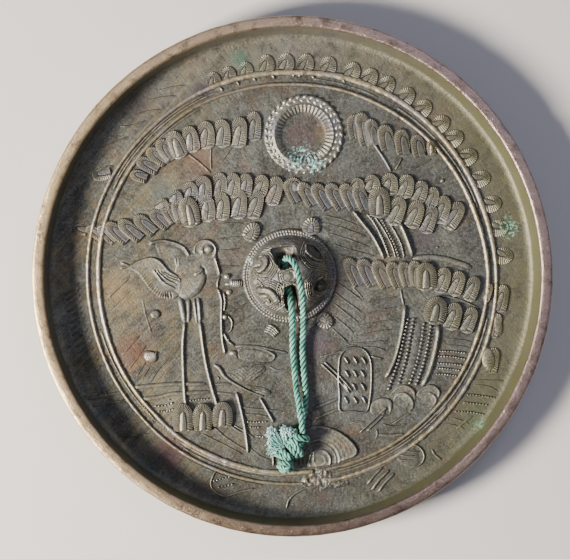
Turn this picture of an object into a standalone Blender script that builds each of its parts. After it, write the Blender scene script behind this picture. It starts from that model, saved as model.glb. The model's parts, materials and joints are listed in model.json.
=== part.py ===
"""Round cast bronze mirror with a tall rim, a pierced tortoise knob and a knotted silk cord.

The mirror lies on its polished face, with the decorated back up. The whole casting is one piece:
the disc, the rim, the two ring lines, the knob and all the relief. The cord is drawn through the
hole under the knob and is tied in a knot near the rim.
The origin is the middle of the underside. Lengths below are in millimetres, and mm() turns them
into metres. X runs to the right of the standing crane and Y from the knot towards the sun.
"""

import math

import bmesh
import bpy
from mathutils import Matrix, Vector

DIAMETER = 110.0
RIM_HEIGHT = 9.0
RIM_WIDTH = 2.4
GROUND = 2.3
WALL_FOOT_RADIUS = 51.3
FACE_RADIUS = 54.5
BODY_SEGMENTS = 64

RING_RADII = (41.1, 43.7)
RING_WIDTH = 1.1
RING_HEIGHT = 0.75

KNOB_CENTRE = (-0.5, 0.0)
KNOB_RADIUS = 9.8
KNOB_HEIGHT = 5.1
KNOB_SEGMENTS = 28

SUN_CENTRE = (2.6, 30.2)
SUN_RADIUS = 8.5

CORD_RADIUS = 0.8
SINK = 0.6

# Pine clumps, one row a twig: middle of the foot, tip and half width of each clump.
TWIGS = {
    "upper_left": (0.95, [
        (-38.5, 22.0, -42.4, 21.1, 1.5), (-30.9, 20.6, -34.4, 21.9, 1.3),
        (-28.6, 22.3, -33.0, 24.9, 1.4), (-26.8, 24.0, -30.8, 27.1, 1.5),
        (-25.5, 24.5, -28.4, 29.1, 1.6), (-23.6, 25.5, -25.7, 30.8, 1.9),
        (-20.8, 26.8, -22.3, 31.9, 1.7), (-18.0, 27.5, -18.6, 33.0, 1.9),
        (-14.6, 27.8, -15.1, 33.4, 1.8), (-11.2, 27.7, -11.2, 33.9, 1.7),
        (-8.0, 29.1, -8.2, 35.1, 1.6)]),
    "middle_left": (1.15, [
        (-43.5, 9.3, -46.6, 10.4, 1.2), (-40.4, 8.0, -43.6, 10.6, 1.1),
        (-37.6, 7.2, -41.2, 10.7, 1.2), (-35.2, 7.2, -39.4, 11.4, 1.4),
        (-32.2, 7.8, -36.8, 11.9, 1.5), (-29.3, 9.1, -33.4, 12.9, 1.5),
        (-26.3, 10.4, -30.0, 14.0, 1.5), (-24.9, 11.4, -27.4, 15.8, 1.4),
        (-23.4, 11.2, -24.8, 16.3, 1.4), (-21.2, 11.0, -22.6, 16.9, 2.2),
        (-17.7, 12.0, -18.6, 17.4, 1.8), (-14.7, 12.3, -15.1, 17.9, 1.7),
        (-11.3, 12.6, -11.5, 18.5, 1.8), (-7.9, 12.4, -7.9, 18.5, 1.8)]),
    "middle_left_back": (0.9, [
        (-27.8, 14.0, -27.3, 16.5, 1.6), (-24.8, 15.5, -24.6, 18.3, 1.6),
        (-21.5, 16.0, -21.8, 20.1, 1.7), (-18.6, 16.0, -19.0, 21.4, 1.8),
        (-15.2, 17.0, -15.5, 22.1, 1.6), (-12.6, 17.0, -12.5, 22.0, 1.6),
        (-9.9, 17.0, -10.0, 21.9, 1.6), (-6.5, 17.0, -6.6, 21.6, 1.7),
        (-3.8, 15.1, -3.6, 21.3, 1.7)]),
    "seedlings": (1.1, [
        (-23.1, -32.9, -23.3, -27.4, 1.9), (-19.2, -32.8, -19.2, -27.3, 1.9),
        (-15.3, -32.0, -15.0, -27.0, 2.1)]),
    "upper_right": (0.8, [
        (13.6, 29.2, 12.9, 34.3, 1.4), (15.9, 28.0, 14.4, 35.0, 1.5),
        (17.0, 28.2, 16.3, 33.4, 1.4), (20.3, 27.0, 19.5, 32.3, 1.6),
        (23.7, 26.1, 23.1, 31.3, 1.5), (27.1, 25.7, 26.3, 30.1, 1.4),
        (29.8, 26.0, 29.5, 28.9, 1.0)]),
    "middle_right": (1.1, [
        (0.4, 18.0, 0.2, 21.1, 1.9), (1.0, 15.6, -1.4, 20.4, 1.3),
        (4.6, 15.0, 1.7, 20.0, 1.5), (7.8, 14.3, 4.6, 19.8, 1.6),
        (10.7, 14.3, 7.6, 19.8, 1.6), (13.3, 14.3, 10.8, 19.8, 1.6),
        (15.7, 14.0, 13.6, 19.4, 1.5), (18.7, 13.0, 18.5, 19.1, 2.4),
        (21.6, 11.2, 23.2, 16.9, 1.8), (25.6, 10.6, 27.0, 16.2, 1.8),
        (28.6, 9.4, 30.0, 15.2, 1.6)]),
    "middle_right_back": (0.9, [
        (14.0, 18.6, 13.7, 20.9, 1.6), (17.0, 18.3, 17.0, 21.6, 1.9),
        (20.8, 17.6, 20.7, 22.0, 1.9), (24.0, 17.0, 24.6, 21.7, 1.8),
        (27.0, 16.0, 27.8, 20.4, 1.6), (29.4, 14.8, 30.3, 19.0, 1.5),
        (31.4, 11.6, 32.6, 17.2, 1.8), (33.2, 10.4, 36.0, 15.8, 1.9)]),
    "lower_right": (1.1, [
        (14.3, -2.1, 11.6, 4.0, 1.5), (17.3, -2.1, 14.5, 3.8, 1.6),
        (20.3, -2.5, 17.6, 3.4, 1.6), (22.9, -2.4, 20.8, 3.1, 1.5),
        (24.9, -2.3, 23.5, 3.2, 1.5), (26.3, -2.3, 26.1, 3.5, 1.5),
        (28.6, -2.6, 28.5, 3.0, 2.4), (31.5, -3.2, 32.8, 1.9, 1.7),
        (34.6, -3.9, 35.9, 1.1, 1.6), (37.8, -5.0, 39.2, 0.0, 1.5),
        (41.4, -5.2, 42.4, -1.6, 0.8), (44.5, -7.4, 45.2, -1.8, 1.4)]),
    "lowest_right": (1.1, [
        (30.2, -9.7, 31.3, -4.3, 2.5), (33.9, -11.1, 35.0, -5.6, 1.8),
        (37.2, -11.8, 38.7, -6.6, 1.5), (43.0, -13.0, 44.1, -8.0, 1.0),
        (42.6, -20.5, 43.2, -15.2, 1.3)]),
}

# The row of small clumps that stands on the outer ring line: degrees from +X.
OUTER_ROW = (5.4, 13.0, 19.8, 27.2, 34.0, 40.2, 45.6, 51.9, 57.5, 63.6,
             68.6, 73.6, 80.2, 86.3, 91.6, 96.9, 102.6, 107.4, 111.8)

# Raised strokes: width, height above the ground, then the points they pass through.
STROKES = [
    (0.9, 0.7, [(13.2, 13.6), (15.0, 11.2), (17.0, 8.7), (18.5, 6.0), (19.6, 3.6)]),
    (1.0, 0.8, [(23.3, 11.0), (24.6, 8.0), (25.7, 4.2)]),
    (0.9, 0.8, [(24.1, -6.2), (23.5, -11.0), (22.5, -15.5), (20.2, -21.6)]),
    (1.2, 0.7, [(31.5, -10.2), (31.0, -13.0), (30.2, -17.0), (29.0, -21.0), (27.6, -23.8)]),
    (1.1, 0.5, [(25.8, 3.7), (29.0, 4.1), (32.0, 3.8), (35.0, 3.0), (38.3, 1.7)]),
    (0.7, 0.4, [(-21.9, 25.8), (-17.2, 21.8)]),
    (0.6, 0.4, [(-17.2, 27.6), (-17.2, 22.6)]),
    (0.7, 0.4, [(17.3, 28.3), (19.5, 25.0), (21.2, 22.1)]),
    (0.9, 0.7, [(-23.4, -4.2), (-22.6, -9.9)]),
    (0.9, 0.8, [(-22.9, -9.4), (-23.3, -15.0), (-23.1, -22.0), (-22.6, -28.0)]),
    (1.0, 0.7, [(-20.5, -4.2), (-19.8, -9.9)]),
    (0.9, 0.8, [(-19.8, -9.4), (-18.6, -17.5), (-17.2, -23.5), (-15.9, -28.0)]),
    (0.7, 0.5, [(-16.5, 4.4), (-15.4, 0.2), (-15.8, -2.6), (-15.1, -9.0), (-14.6, -16.4)]),
    (0.9, 0.6, [(-11.8, -24.8), (-10.9, -28.5), (-10.0, -33.0), (-9.4, -37.6)]),
    (0.8, 0.5, [(-6.8, -26.0), (-4.6, -30.4)]),
    (1.0, 0.4, [(-34.4, -23.6), (-29.0, -23.1), (-23.6, -22.9)]),
    (1.0, 0.4, [(-32.8, -26.3), (-28.5, -25.7), (-23.6, -25.0)]),
    (0.7, 0.5, [(6.3, -18.0), (9.6, -21.6), (12.8, -25.1)]),
    (0.8, 0.5, [(20.0, -28.3), (14.3, -33.3)]),
    (0.6, 0.4, [(-16.1, -41.3), (-17.2, -43.4), (-16.9, -45.3), (-14.4, -46.8), (-8.0, -45.2)]),
]
PLAQUE_FRAME = [(10.0, -18.5), (10.0, -23.0), (10.2, -28.6), (13.3, -28.8), (16.3, -28.6),
                (16.9, -25.0), (17.0, -21.0), (16.5, -17.8), (15.1, -15.8), (13.3, -15.3),
                (11.5, -15.8), (10.4, -17.0)]

# Low domes: middle x, y, half length, half width, height, turn in degrees.
DOMES = [
    (-24.0, -0.6, 6.4, 4.3, 1.1, 8.0),
    (-25.4, 4.0, 4.3, 3.2, 1.3, -18.0),
    (-30.6, 1.6, 4.6, 2.1, 0.9, 12.0),
    (-19.2, 1.4, 2.8, 3.6, 1.0, 15.0),
    (-18.6, 5.5, 2.5, 2.5, 1.0, 0.0),
    (-13.5, -1.1, 1.9, 1.3, 1.3, 0.0),
    (-13.9, -9.8, 1.0, 1.9, 0.8, 0.0),
    (-7.9, -17.4, 4.4, 1.9, 1.0, -4.0),
    (-10.4, -20.9, 3.9, 2.1, 0.8, -18.0),
    (-29.1, -8.1, 1.2, 1.1, 0.8, 0.0),
    (-30.1, -17.1, 1.6, 1.4, 0.9, -30.0),
    (23.4, -26.6, 3.2, 2.6, 0.8, -5.0),
    (28.7, -26.6, 3.1, 2.4, 0.8, -8.0),
    (29.9, -25.2, 2.6, 2.2, 0.6, -8.0),
    (18.7, -28.1, 2.5, 2.0, 0.9, 20.0),
    (7.2, -38.2, 6.9, 6.3, 0.8, 0.0),
    (24.4, -38.5, 3.2, 2.2, 0.5, 5.0),
    (14.5, -44.2, 2.2, 1.6, 0.5, 0.0),
]

# Fluted feet of the tortoise: middle x, y, half length, half width, turn of the long side.
FEET = [(-8.3, 9.3, 2.3, 1.7, 120.0), (4.3, 10.3, 2.3, 1.8, 65.0),
        (6.9, -9.4, 2.2, 1.6, -55.0), (-4.4, -11.2, 2.5, 1.6, -120.0)]

# Shell plates on the knob: degrees round the knob, distance from its middle, radius.
PLATES = [(158.0, 6.4, 2.5), (222.0, 6.3, 2.7), (52.0, 6.9, 2.2), (340.0, 6.6, 2.3)]

CORD_UPPER_LEG = [
    (-1.35, 0.2, 1.68), (-1.6, 2.4, 1.9), (-1.5, 3.6, 3.0), (-1.0, 3.9, 4.5),
    (-0.1, 3.2, 6.0), (0.7, 1.8, 6.55), (1.2, 0.0, 6.5), (1.6, -2.0, 6.4), (1.95, -4.0, 6.0),
    (2.1, -6.0, 5.2), (2.2, -7.8, 4.2), (2.25, -9.4, 3.1), (2.3, -11.0, 2.25),
    (2.3, -13.0, 1.5), (2.25, -16.0, 1.2), (2.5, -20.0, 1.2), (2.85, -24.0, 1.2),
    (2.75, -27.0, 1.2), (2.3, -30.0, 1.2), (1.9, -33.5, 1.25)]
CORD_LOWER_LEG = [
    (-1.0, -1.4, 1.68), (-0.75, -3.1, 1.95), (-0.5, -4.6, 2.8), (-0.3, -6.2, 3.55),
    (-0.15, -7.7, 3.45), (-0.05, -9.3, 2.75), (0.0, -10.9, 2.15), (0.05, -12.8, 1.5),
    (0.15, -15.5, 1.2), (0.45, -19.5, 1.2), (0.85, -23.5, 1.5), (1.2, -26.0, 2.4),
    (1.6, -28.5, 3.1), (1.95, -31.0, 3.3), (2.2, -33.5, 3.3)]

# Knot: middle x, y, height above the ground, then half lengths of each rounded lump.
KNOT_LUMPS = [(1.7, -36.1, 2.7, 1.4, 1.7, 1.7), (0.1, -37.4, 2.9, 1.9, 1.5, 1.6),
              (-1.4, -39.9, 3.2, 1.6, 2.0, 1.5), (-0.9, -34.0, 2.6, 1.6, 2.4, 1.3),
              (-4.2, -34.9, 2.3, 1.4, 3.1, 1.4), (-2.6, -36.3, 2.6, 1.9, 1.3, 1.3)]


def mm(*values):
    """Millimetres to a vector, or to one number, in metres."""
    scaled = [value * 0.001 for value in values]
    return scaled[0] if len(scaled) == 1 else Vector(scaled)


def clear_scene():
    for obj in list(bpy.data.objects):
        bpy.data.objects.remove(obj, do_unlink=True)


def make_material(name, colour, roughness, metallic):
    material = bpy.data.materials.new(name)
    material.use_nodes = True
    shader = material.node_tree.nodes["Principled BSDF"]
    shader.inputs["Base Color"].default_value = (*colour, 1.0)
    shader.inputs["Roughness"].default_value = roughness
    shader.inputs["Metallic"].default_value = metallic
    return material


def finish_object(name, bm, collection, material=None, helper=False):
    """Turns a bmesh into a named object with its faces pointing out."""
    bmesh.ops.recalc_face_normals(bm, faces=bm.faces)
    mesh = bpy.data.meshes.new(name)
    bm.to_mesh(mesh)
    bm.free()
    obj = bpy.data.objects.new(name, mesh)
    collection.objects.link(obj)
    if material:
        mesh.materials.append(material)
    if helper:
        obj.hide_render = True
        obj.display_type = "WIRE"
    return obj


def loft(rings):
    """A closed bmesh through rings of equally many points, capped at both ends."""
    bm = bmesh.new()
    loops = [[bm.verts.new(mm(*point)) for point in ring] for ring in rings]
    count = len(loops[0])
    for low, high in zip(loops, loops[1:]):
        for i in range(count):
            j = (i + 1) % count
            bm.faces.new((low[i], low[j], high[j], high[i]))
    bm.faces.new(loops[0][::-1])
    bm.faces.new(loops[-1])
    return bm


def turned(profile, segments, centre=(0.0, 0.0), phase=0.0):
    """Spins a profile of (radius, height) round a vertical axis. Both ends lie on the axis."""
    bm = bmesh.new()
    first = bm.verts.new(mm(centre[0], centre[1], profile[0][1]))
    last = bm.verts.new(mm(centre[0], centre[1], profile[-1][1]))
    loops = []
    for radius, height in profile[1:-1]:
        loop = []
        for i in range(segments):
            angle = 2.0 * math.pi * (i + phase) / segments
            x = centre[0] + radius * math.cos(angle)
            y = centre[1] + radius * math.sin(angle)
            loop.append(bm.verts.new(mm(x, y, height)))
        loops.append(loop)
    for i in range(segments):
        j = (i + 1) % segments
        bm.faces.new((first, loops[0][i], loops[0][j]))
        for low, high in zip(loops, loops[1:]):
            bm.faces.new((low[i], low[j], high[j], high[i]))
        bm.faces.new((last, loops[-1][j], loops[-1][i]))
    return bm


def body_profile():
    """Underside, outer wall, rim, inner wall, and the back with its two raised ring lines."""
    outer = DIAMETER / 2.0
    inner = outer - RIM_WIDTH
    profile = [
        (0.0, 0.0), (FACE_RADIUS - 0.4, 0.0), (FACE_RADIUS, 0.4),
        (outer, RIM_HEIGHT - 0.35), (outer - 0.35, RIM_HEIGHT), (inner, RIM_HEIGHT),
        (WALL_FOOT_RADIUS + 0.5, GROUND + 1.0), (WALL_FOOT_RADIUS - 0.9, GROUND)]
    for radius in reversed(RING_RADII):
        half = RING_WIDTH / 2.0
        profile += [
            (radius + half, GROUND), (radius + half * 0.3, GROUND + RING_HEIGHT),
            (radius - half * 0.3, GROUND + RING_HEIGHT), (radius - half, GROUND)]
    return profile + [(0.0, GROUND)]


def knob_profile():
    """Low collar of the tortoise shell, a groove inside it, and the dome."""
    low = GROUND - SINK
    shell = [(0.86, 0.14), (0.80, 0.42), (0.68, 0.63), (0.50, 0.82), (0.28, 0.95)]
    profile = [(0.0, low), (KNOB_RADIUS, low), (KNOB_RADIUS, GROUND + 0.45),
               (KNOB_RADIUS - 0.35, GROUND + 0.95), (KNOB_RADIUS - 0.85, GROUND + 0.95)]
    profile += [(KNOB_RADIUS * r, GROUND + KNOB_HEIGHT * h) for r, h in shell]
    return profile + [(0.0, GROUND + KNOB_HEIGHT)]


def sun_profile():
    """Roped outer ring, a fluted slope inside it and a flat, slightly sunk middle."""
    low = GROUND - SINK
    return [(0.0, low), (SUN_RADIUS, low), (SUN_RADIUS, GROUND + 0.5),
            (SUN_RADIUS - 0.6, GROUND + 1.0), (SUN_RADIUS - 1.9, GROUND + 1.05),
            (SUN_RADIUS - 2.4, GROUND + 0.8), (SUN_RADIUS - 4.1, GROUND + 0.25),
            (0.0, GROUND + 0.2)]


def clump(foot_x, foot_y, tip_x, tip_y, half_width, height, low):
    """A pine clump: an arch in outline, steep at its edge and gently crowned."""
    foot = Vector((foot_x, foot_y))
    along = Vector((tip_x, tip_y)) - foot
    length = along.length
    along.normalize()
    across = Vector((along.y, -along.x))
    bend = 1.15 * half_width
    steps = 4 if half_width > 1.7 else 3

    def outline(shrink, z, lift):
        ring = []
        spots = [(-0.94, 0.0)]
        for i in range(steps + 1):
            angle = math.pi * i / steps
            rise = length - bend + bend * math.sin(angle)
            spots.append((-math.cos(angle), rise / length))
        spots.append((0.94, 0.0))
        for side, rise in spots:
            middle = 0.45
            rise = middle + (rise - middle) * shrink
            point = foot + across * side * half_width * shrink + along * rise * length
            ring.append((point.x, point.y, z + lift * side))
        return ring

    if half_width * height < 1.7:
        return loft([outline(1.0, low, 0.0), outline(0.7, GROUND + height, 0.03)])
    return loft([
        outline(1.0, low, 0.0), outline(0.97, GROUND + height * 0.62, 0.04),
        outline(0.55, GROUND + height, 0.03)])


def stroke(points, width, height, low, closed=False):
    """A raised stroke of even width through the points, narrower at its top."""
    spots = [Vector(point) for point in points]
    count = len(spots)
    rings = []
    for i, spot in enumerate(spots):
        before = spots[i - 1] if closed or i > 0 else spot
        after = spots[(i + 1) % count] if closed or i < count - 1 else spot
        along = (after - before).normalized()
        across = Vector((along.y, -along.x))
        ring = []
        for side, z in ((-1.0, low), (1.0, low), (0.62, GROUND + height), (-0.62, GROUND + height)):
            point = spot + across * side * width / 2.0
            ring.append((point.x, point.y, z))
        rings.append(ring)
    if not closed:
        return loft(rings)
    bm = bmesh.new()
    loops = [[bm.verts.new(mm(*point)) for point in ring] for ring in rings]
    for i, first in enumerate(loops):
        second = loops[(i + 1) % count]
        for j in range(4):
            k = (j + 1) % 4
            bm.faces.new((first[j], first[k], second[k], second[j]))
    return bm


def dome(x, y, half_length, half_width, height, turn, low, segments=10):
    """A low rounded hump on an oval foot."""
    angle = math.radians(turn)
    levels = [(1.0, low), (0.96, GROUND + height * 0.55), (0.62, GROUND + height)]
    if half_length * half_width < 4.0:
        levels = [(1.0, low), (0.75, GROUND + height)]
    rings = []
    for shrink, z in levels:
        ring = []
        for i in range(segments):
            a = 2.0 * math.pi * i / segments
            u = half_length * shrink * math.cos(a)
            v = half_width * shrink * math.sin(a)
            ring.append((x + u * math.cos(angle) - v * math.sin(angle),
                         y + u * math.sin(angle) + v * math.cos(angle), z))
        rings.append(ring)
    return loft(rings)


def foot_of_tortoise(x, y, half_length, half_width, turn, low):
    """A foot with a scalloped edge, like a small fan."""
    angle = math.radians(turn)
    rings = []
    for shrink, z in ((1.0, low), (0.95, GROUND + 0.9), (0.55, GROUND + 1.5)):
        ring = []
        for i in range(14):
            a = 2.0 * math.pi * i / 14
            flute = 1.0 - (0.10 if i % 2 and math.cos(a) > -0.3 else 0.0)
            u = half_length * shrink * flute * math.cos(a)
            v = half_width * shrink * flute * math.sin(a)
            ring.append((x + u * math.cos(angle) - v * math.sin(angle),
                         y + u * math.sin(angle) + v * math.cos(angle), z))
        rings.append(ring)
    return loft(rings)


def shell_plate(turn, distance, radius):
    """A six-sided plate that stands a little proud of the dome and faces along its normal."""
    angle = math.radians(turn)
    out = Vector((math.cos(angle), math.sin(angle), 0.0))
    slope = math.radians(10.0 + 5.2 * distance)
    normal = out * math.sin(slope) + Vector((0.0, 0.0, math.cos(slope)))
    share = distance / KNOB_RADIUS
    height = GROUND + KNOB_HEIGHT * (1.0 - 1.02 * share**2.6)
    middle = Vector((*KNOB_CENTRE, 0.0)) + out * distance + Vector((0.0, 0.0, height))
    side = Vector((-out.y, out.x, 0.0))
    up = normal.cross(side)
    rings = []
    for shrink, lift in ((1.0, -1.2), (0.95, 0.12), (0.68, 0.42)):
        ring = []
        for i in range(6):
            a = math.radians(60.0 * i + 30.0)
            offset = side * math.cos(a) + up * math.sin(a)
            point = middle + offset * radius * shrink + normal * lift
            ring.append(tuple(point))
        rings.append(ring)
    return loft(rings)


def opening(foot, floor_heights, top=GROUND + 9.0):
    """A cutter with upright sides over a sloping floor."""
    low = [(x, y, GROUND + z) for (x, y), z in zip(foot, floor_heights)]
    high = [(x, y, top) for x, y in foot]
    return loft([low, high])


def passage():
    """The way under the bridge of the knob, from one opening to the other."""
    rings = []
    for x, y in ((-1.75, 3.6), (-0.85, -4.4)):
        ring = []
        for side, z in ((-1.3, 0.5), (1.3, 0.5), (1.45, 2.0), (0.8, 2.95), (-0.8, 2.95), (-1.45, 2.0)):
            ring.append((x + side, y, GROUND + z))
        rings.append(ring)
    return loft(rings)


def smooth_route(points, step):
    """Evenly spaced points on a smooth curve through the given ones."""
    spots = [Vector(point) for point in points]
    padded = [spots[0] * 2 - spots[1]] + spots + [spots[-1] * 2 - spots[-2]]
    dense = []
    for a, b, c, d in zip(padded, padded[1:], padded[2:], padded[3:]):
        for i in range(24):
            t = i / 24.0
            dense.append(0.5 * ((2 * b) + (c - a) * t + (2 * a - 5 * b + 4 * c - d) * t * t
                                + (3 * b - a - 3 * c + d) * t**3))
    dense.append(spots[-1])
    lengths = [0.0]
    for a, b in zip(dense, dense[1:]):
        lengths.append(lengths[-1] + (b - a).length)
    count = max(2, round(lengths[-1] / step))
    route = []
    k = 0
    for i in range(count + 1):
        want = lengths[-1] * i / count
        while k < len(dense) - 2 and lengths[k + 1] < want:
            k += 1
        share = (want - lengths[k]) / max(lengths[k + 1] - lengths[k], 1e-9)
        route.append(dense[k].lerp(dense[k + 1], share))
    return route


def make_cord(collection, material):
    """One silk cord from the knot, through the knob and back to the knot."""
    route = [(x, y, GROUND + z) for x, y, z in reversed(CORD_UPPER_LEG)]
    route += [(x, y, GROUND + z) for x, y, z in CORD_LOWER_LEG]
    curve = bpy.data.curves.new("cord", "CURVE")
    curve.dimensions = "3D"
    curve.bevel_depth = mm(CORD_RADIUS)
    curve.bevel_resolution = 2
    curve.use_fill_caps = True
    points = smooth_route(route, 1.6)
    spline = curve.splines.new("POLY")
    spline.points.add(len(points) - 1)
    for target, point in zip(spline.points, points):
        target.co = (*mm(*point), 1.0)
    curve.materials.append(material)
    obj = bpy.data.objects.new("cord", curve)
    collection.objects.link(obj)
    return obj


def add_boolean(obj, name, operation, operand=None, collection=None):
    modifier = obj.modifiers.new(name, "BOOLEAN")
    modifier.operation = operation
    modifier.solver = "EXACT"
    if collection:
        modifier.operand_type = "COLLECTION"
        modifier.collection = collection
    else:
        modifier.object = operand


def make_mirror(scene, material):
    body = finish_object("mirror", turned(body_profile(), BODY_SEGMENTS), scene, material)
    relief = bpy.data.collections.new("relief")
    scene.children.link(relief)
    count = 0

    def add(bm):
        nonlocal count
        count += 1
        finish_object(f"relief_{count:03d}", bm, relief, helper=True)

    def low():
        return GROUND - SINK - 0.013 * (count % 17)

    add(turned(knob_profile(), KNOB_SEGMENTS, KNOB_CENTRE, 0.37))
    add(turned(sun_profile(), 28, SUN_CENTRE, 0.21))
    for height, rows in TWIGS.values():
        for i, (fx, fy, tx, ty, half) in enumerate(rows):
            rise = height + 0.06 * math.sin(2.3 * i) + (0.15 if half > 2.0 else 0.0)
            if math.hypot(tx, ty) > 42.5:
                rise *= 0.6
            add(clump(fx, fy, tx, ty, half, rise, low()))
    for i, degrees in enumerate(OUTER_ROW):
        angle = math.radians(degrees)
        out = Vector((math.cos(angle), math.sin(angle)))
        tip = 46.8 if degrees > 100.0 else 47.6
        foot = out * 43.9
        half = 1.65 if degrees > 100.0 else 1.9
        add(clump(*foot, *(out * tip), half, 0.5 + 0.03 * (i % 3), low()))
    for i, (width, height, points) in enumerate(STROKES):
        add(stroke(points, width, height + 0.011 * i, low()))
    add(stroke(PLAQUE_FRAME, 0.6, 0.47, low(), closed=True))
    for i, row in enumerate(DOMES):
        add(dome(*row[:4], row[4] + 0.007 * i, row[5], low()))
    for row in FEET:
        add(foot_of_tortoise(*row, low()))
    for row in PLATES:
        add(shell_plate(*row))

    add_boolean(body, "relief", "UNION", collection=relief)
    cuts = (
        ("upper_opening", opening(
            [(-5.0, 6.2), (-4.4, 4.2), (-3.1, 2.2), (-2.2, 1.4), (0.2, 2.2), (0.8, 4.6), (0.2, 6.9)],
            [2.3, 1.3, 0.6, 0.5, 0.6, 1.5, 2.5])),
        ("lower_opening", opening(
            [(0.7, -2.0), (-1.1, -2.1), (-1.9, -3.6), (-2.0, -6.4), (-1.2, -7.8), (1.1, -8.0), (1.5, -5.0)],
            [0.5, 0.5, 0.7, 1.4, 2.1, 2.2, 1.0])),
        ("passage", passage()))
    for name, bm in cuts:
        cutter = finish_object("cutter_" + name, bm, scene, helper=True)
        add_boolean(body, name, "DIFFERENCE", cutter)
    return body


def make_knot(scene, material):
    """The knot and its frayed ends, as one cluster of lumps."""
    lumps = bpy.data.collections.new("knot_lumps")
    scene.children.link(lumps)
    made = []
    for i, (x, y, z, a, b, c) in enumerate(KNOT_LUMPS):
        bm = bmesh.new()
        bmesh.ops.create_icosphere(bm, subdivisions=2, radius=1.0)
        turn = Matrix.Rotation(0.31 * i, 4, "Z") @ Matrix.Rotation(0.2 + 0.17 * i, 4, "X")
        sizes = Matrix.Diagonal((a, b, c, 1.0))
        place = Matrix.Translation(Vector((x, y, GROUND + z)))
        bmesh.ops.transform(bm, matrix=Matrix.Scale(0.001, 4) @ place @ sizes @ turn, verts=bm.verts)
        helper = i > 0
        name = f"knot_lump_{i}" if helper else "cord_knot"
        target = lumps if helper else scene
        made.append(finish_object(name, bm, target, None if helper else material, helper))
    add_boolean(made[0], "lumps", "UNION", collection=lumps)
    return made[0]


def main():
    clear_scene()
    scene = bpy.context.scene.collection
    bronze = make_material("patinated_bronze", (0.22, 0.18, 0.12), 0.5, 0.85)
    silk = make_material("green_silk_cord", (0.16, 0.36, 0.28), 0.75, 0.0)
    frayed = make_material("frayed_silk", (0.52, 0.68, 0.61), 0.9, 0.0)
    make_mirror(scene, bronze)
    make_cord(scene, silk)
    make_knot(scene, frayed)


main()
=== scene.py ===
# %% [markdown]
# # A cast bronze mirror with a silk cord
# The mirror lies on its polished face, so what shows is the cast back: a tall rim, two ring
# lines, pine boughs, two cranes, a sun, and a pierced tortoise in the middle that carries the
# cord. The real back was cast in one piece from a clay mould. Here it is one turned body with
# many small closed shapes sunk into it, because each shape can then be modelled with the faces
# that it needs. Everything is drawn in millimetres and made metres at the very end of a piece.

# %% The frame and the tools
import json
import math

import bmesh
import bpy
import numpy as np
from mathutils import Matrix, Vector, noise

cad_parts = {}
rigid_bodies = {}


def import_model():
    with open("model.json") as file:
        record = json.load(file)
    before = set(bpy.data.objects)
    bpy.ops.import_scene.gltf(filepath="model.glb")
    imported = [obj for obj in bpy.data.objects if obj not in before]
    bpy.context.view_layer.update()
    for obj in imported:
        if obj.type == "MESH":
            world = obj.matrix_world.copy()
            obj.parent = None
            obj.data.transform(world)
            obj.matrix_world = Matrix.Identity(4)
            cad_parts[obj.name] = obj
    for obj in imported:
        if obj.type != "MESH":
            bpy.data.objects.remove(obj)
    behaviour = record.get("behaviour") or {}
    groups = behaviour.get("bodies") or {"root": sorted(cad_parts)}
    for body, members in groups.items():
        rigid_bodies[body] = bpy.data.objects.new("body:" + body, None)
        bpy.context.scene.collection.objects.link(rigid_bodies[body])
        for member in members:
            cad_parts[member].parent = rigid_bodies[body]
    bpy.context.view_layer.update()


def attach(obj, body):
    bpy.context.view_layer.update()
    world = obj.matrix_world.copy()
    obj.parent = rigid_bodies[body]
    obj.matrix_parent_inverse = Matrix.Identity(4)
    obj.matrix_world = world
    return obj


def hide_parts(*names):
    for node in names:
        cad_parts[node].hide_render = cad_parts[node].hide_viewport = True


for leftover in list(bpy.data.objects):
    bpy.data.objects.remove(leftover)
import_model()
scene = bpy.context.scene

MM = 0.001
GROUND = 2.3  # thickness of the plate, so the height of the ground that the relief stands on
RIM_HEIGHT = 9.0
OUTER_RADIUS = 55.0
RIM_WIDTH = 2.4
FACE_RADIUS = 54.5

# %% [markdown]
# ## Camera
# The mirror is seen from straight above through a long lens. The camera stands a little to the
# left of the middle and is turned to the object, so the right inner wall of the rim shows more
# than the left one.

# %% The camera
CAMERA_PLACE = (-0.024, 0.006, 0.640)
CAMERA_TARGET = (-0.00171, -0.00065, RIM_HEIGHT * MM)
SEEN_WIDTH = 0.12004  # width of the view in the plane of the rim, in metres

camera_data = bpy.data.cameras.new("camera")
camera = bpy.data.objects.new("camera", camera_data)
scene.collection.objects.link(camera)
camera.location = CAMERA_PLACE
aim = Vector(CAMERA_TARGET) - Vector(CAMERA_PLACE)
back = -aim.normalized()
right = Vector((0.0, 1.0, 0.0)).cross(back).normalized()
camera.rotation_euler = Matrix((right, back.cross(right), back)).transposed().to_euler()
camera_data.sensor_width = 36.0
camera_data.lens = 36.0 * aim.length / SEEN_WIDTH
camera_data.clip_start = 0.01
scene.camera = camera
print("lens, mm:", round(camera_data.lens, 1))

# %% [markdown]
# ## Small helpers
# `spaced` draws a smooth line through a few points and cuts it into even steps. `tower` makes a
# closed solid from a capped circle by extruding its top face again and again, and moving the
# new ring each time. `stamp` adds a small shape to a piece, and `finish_piece` scales a piece
# to metres, turns its faces out and fixes it to the body of the mirror.


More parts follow.
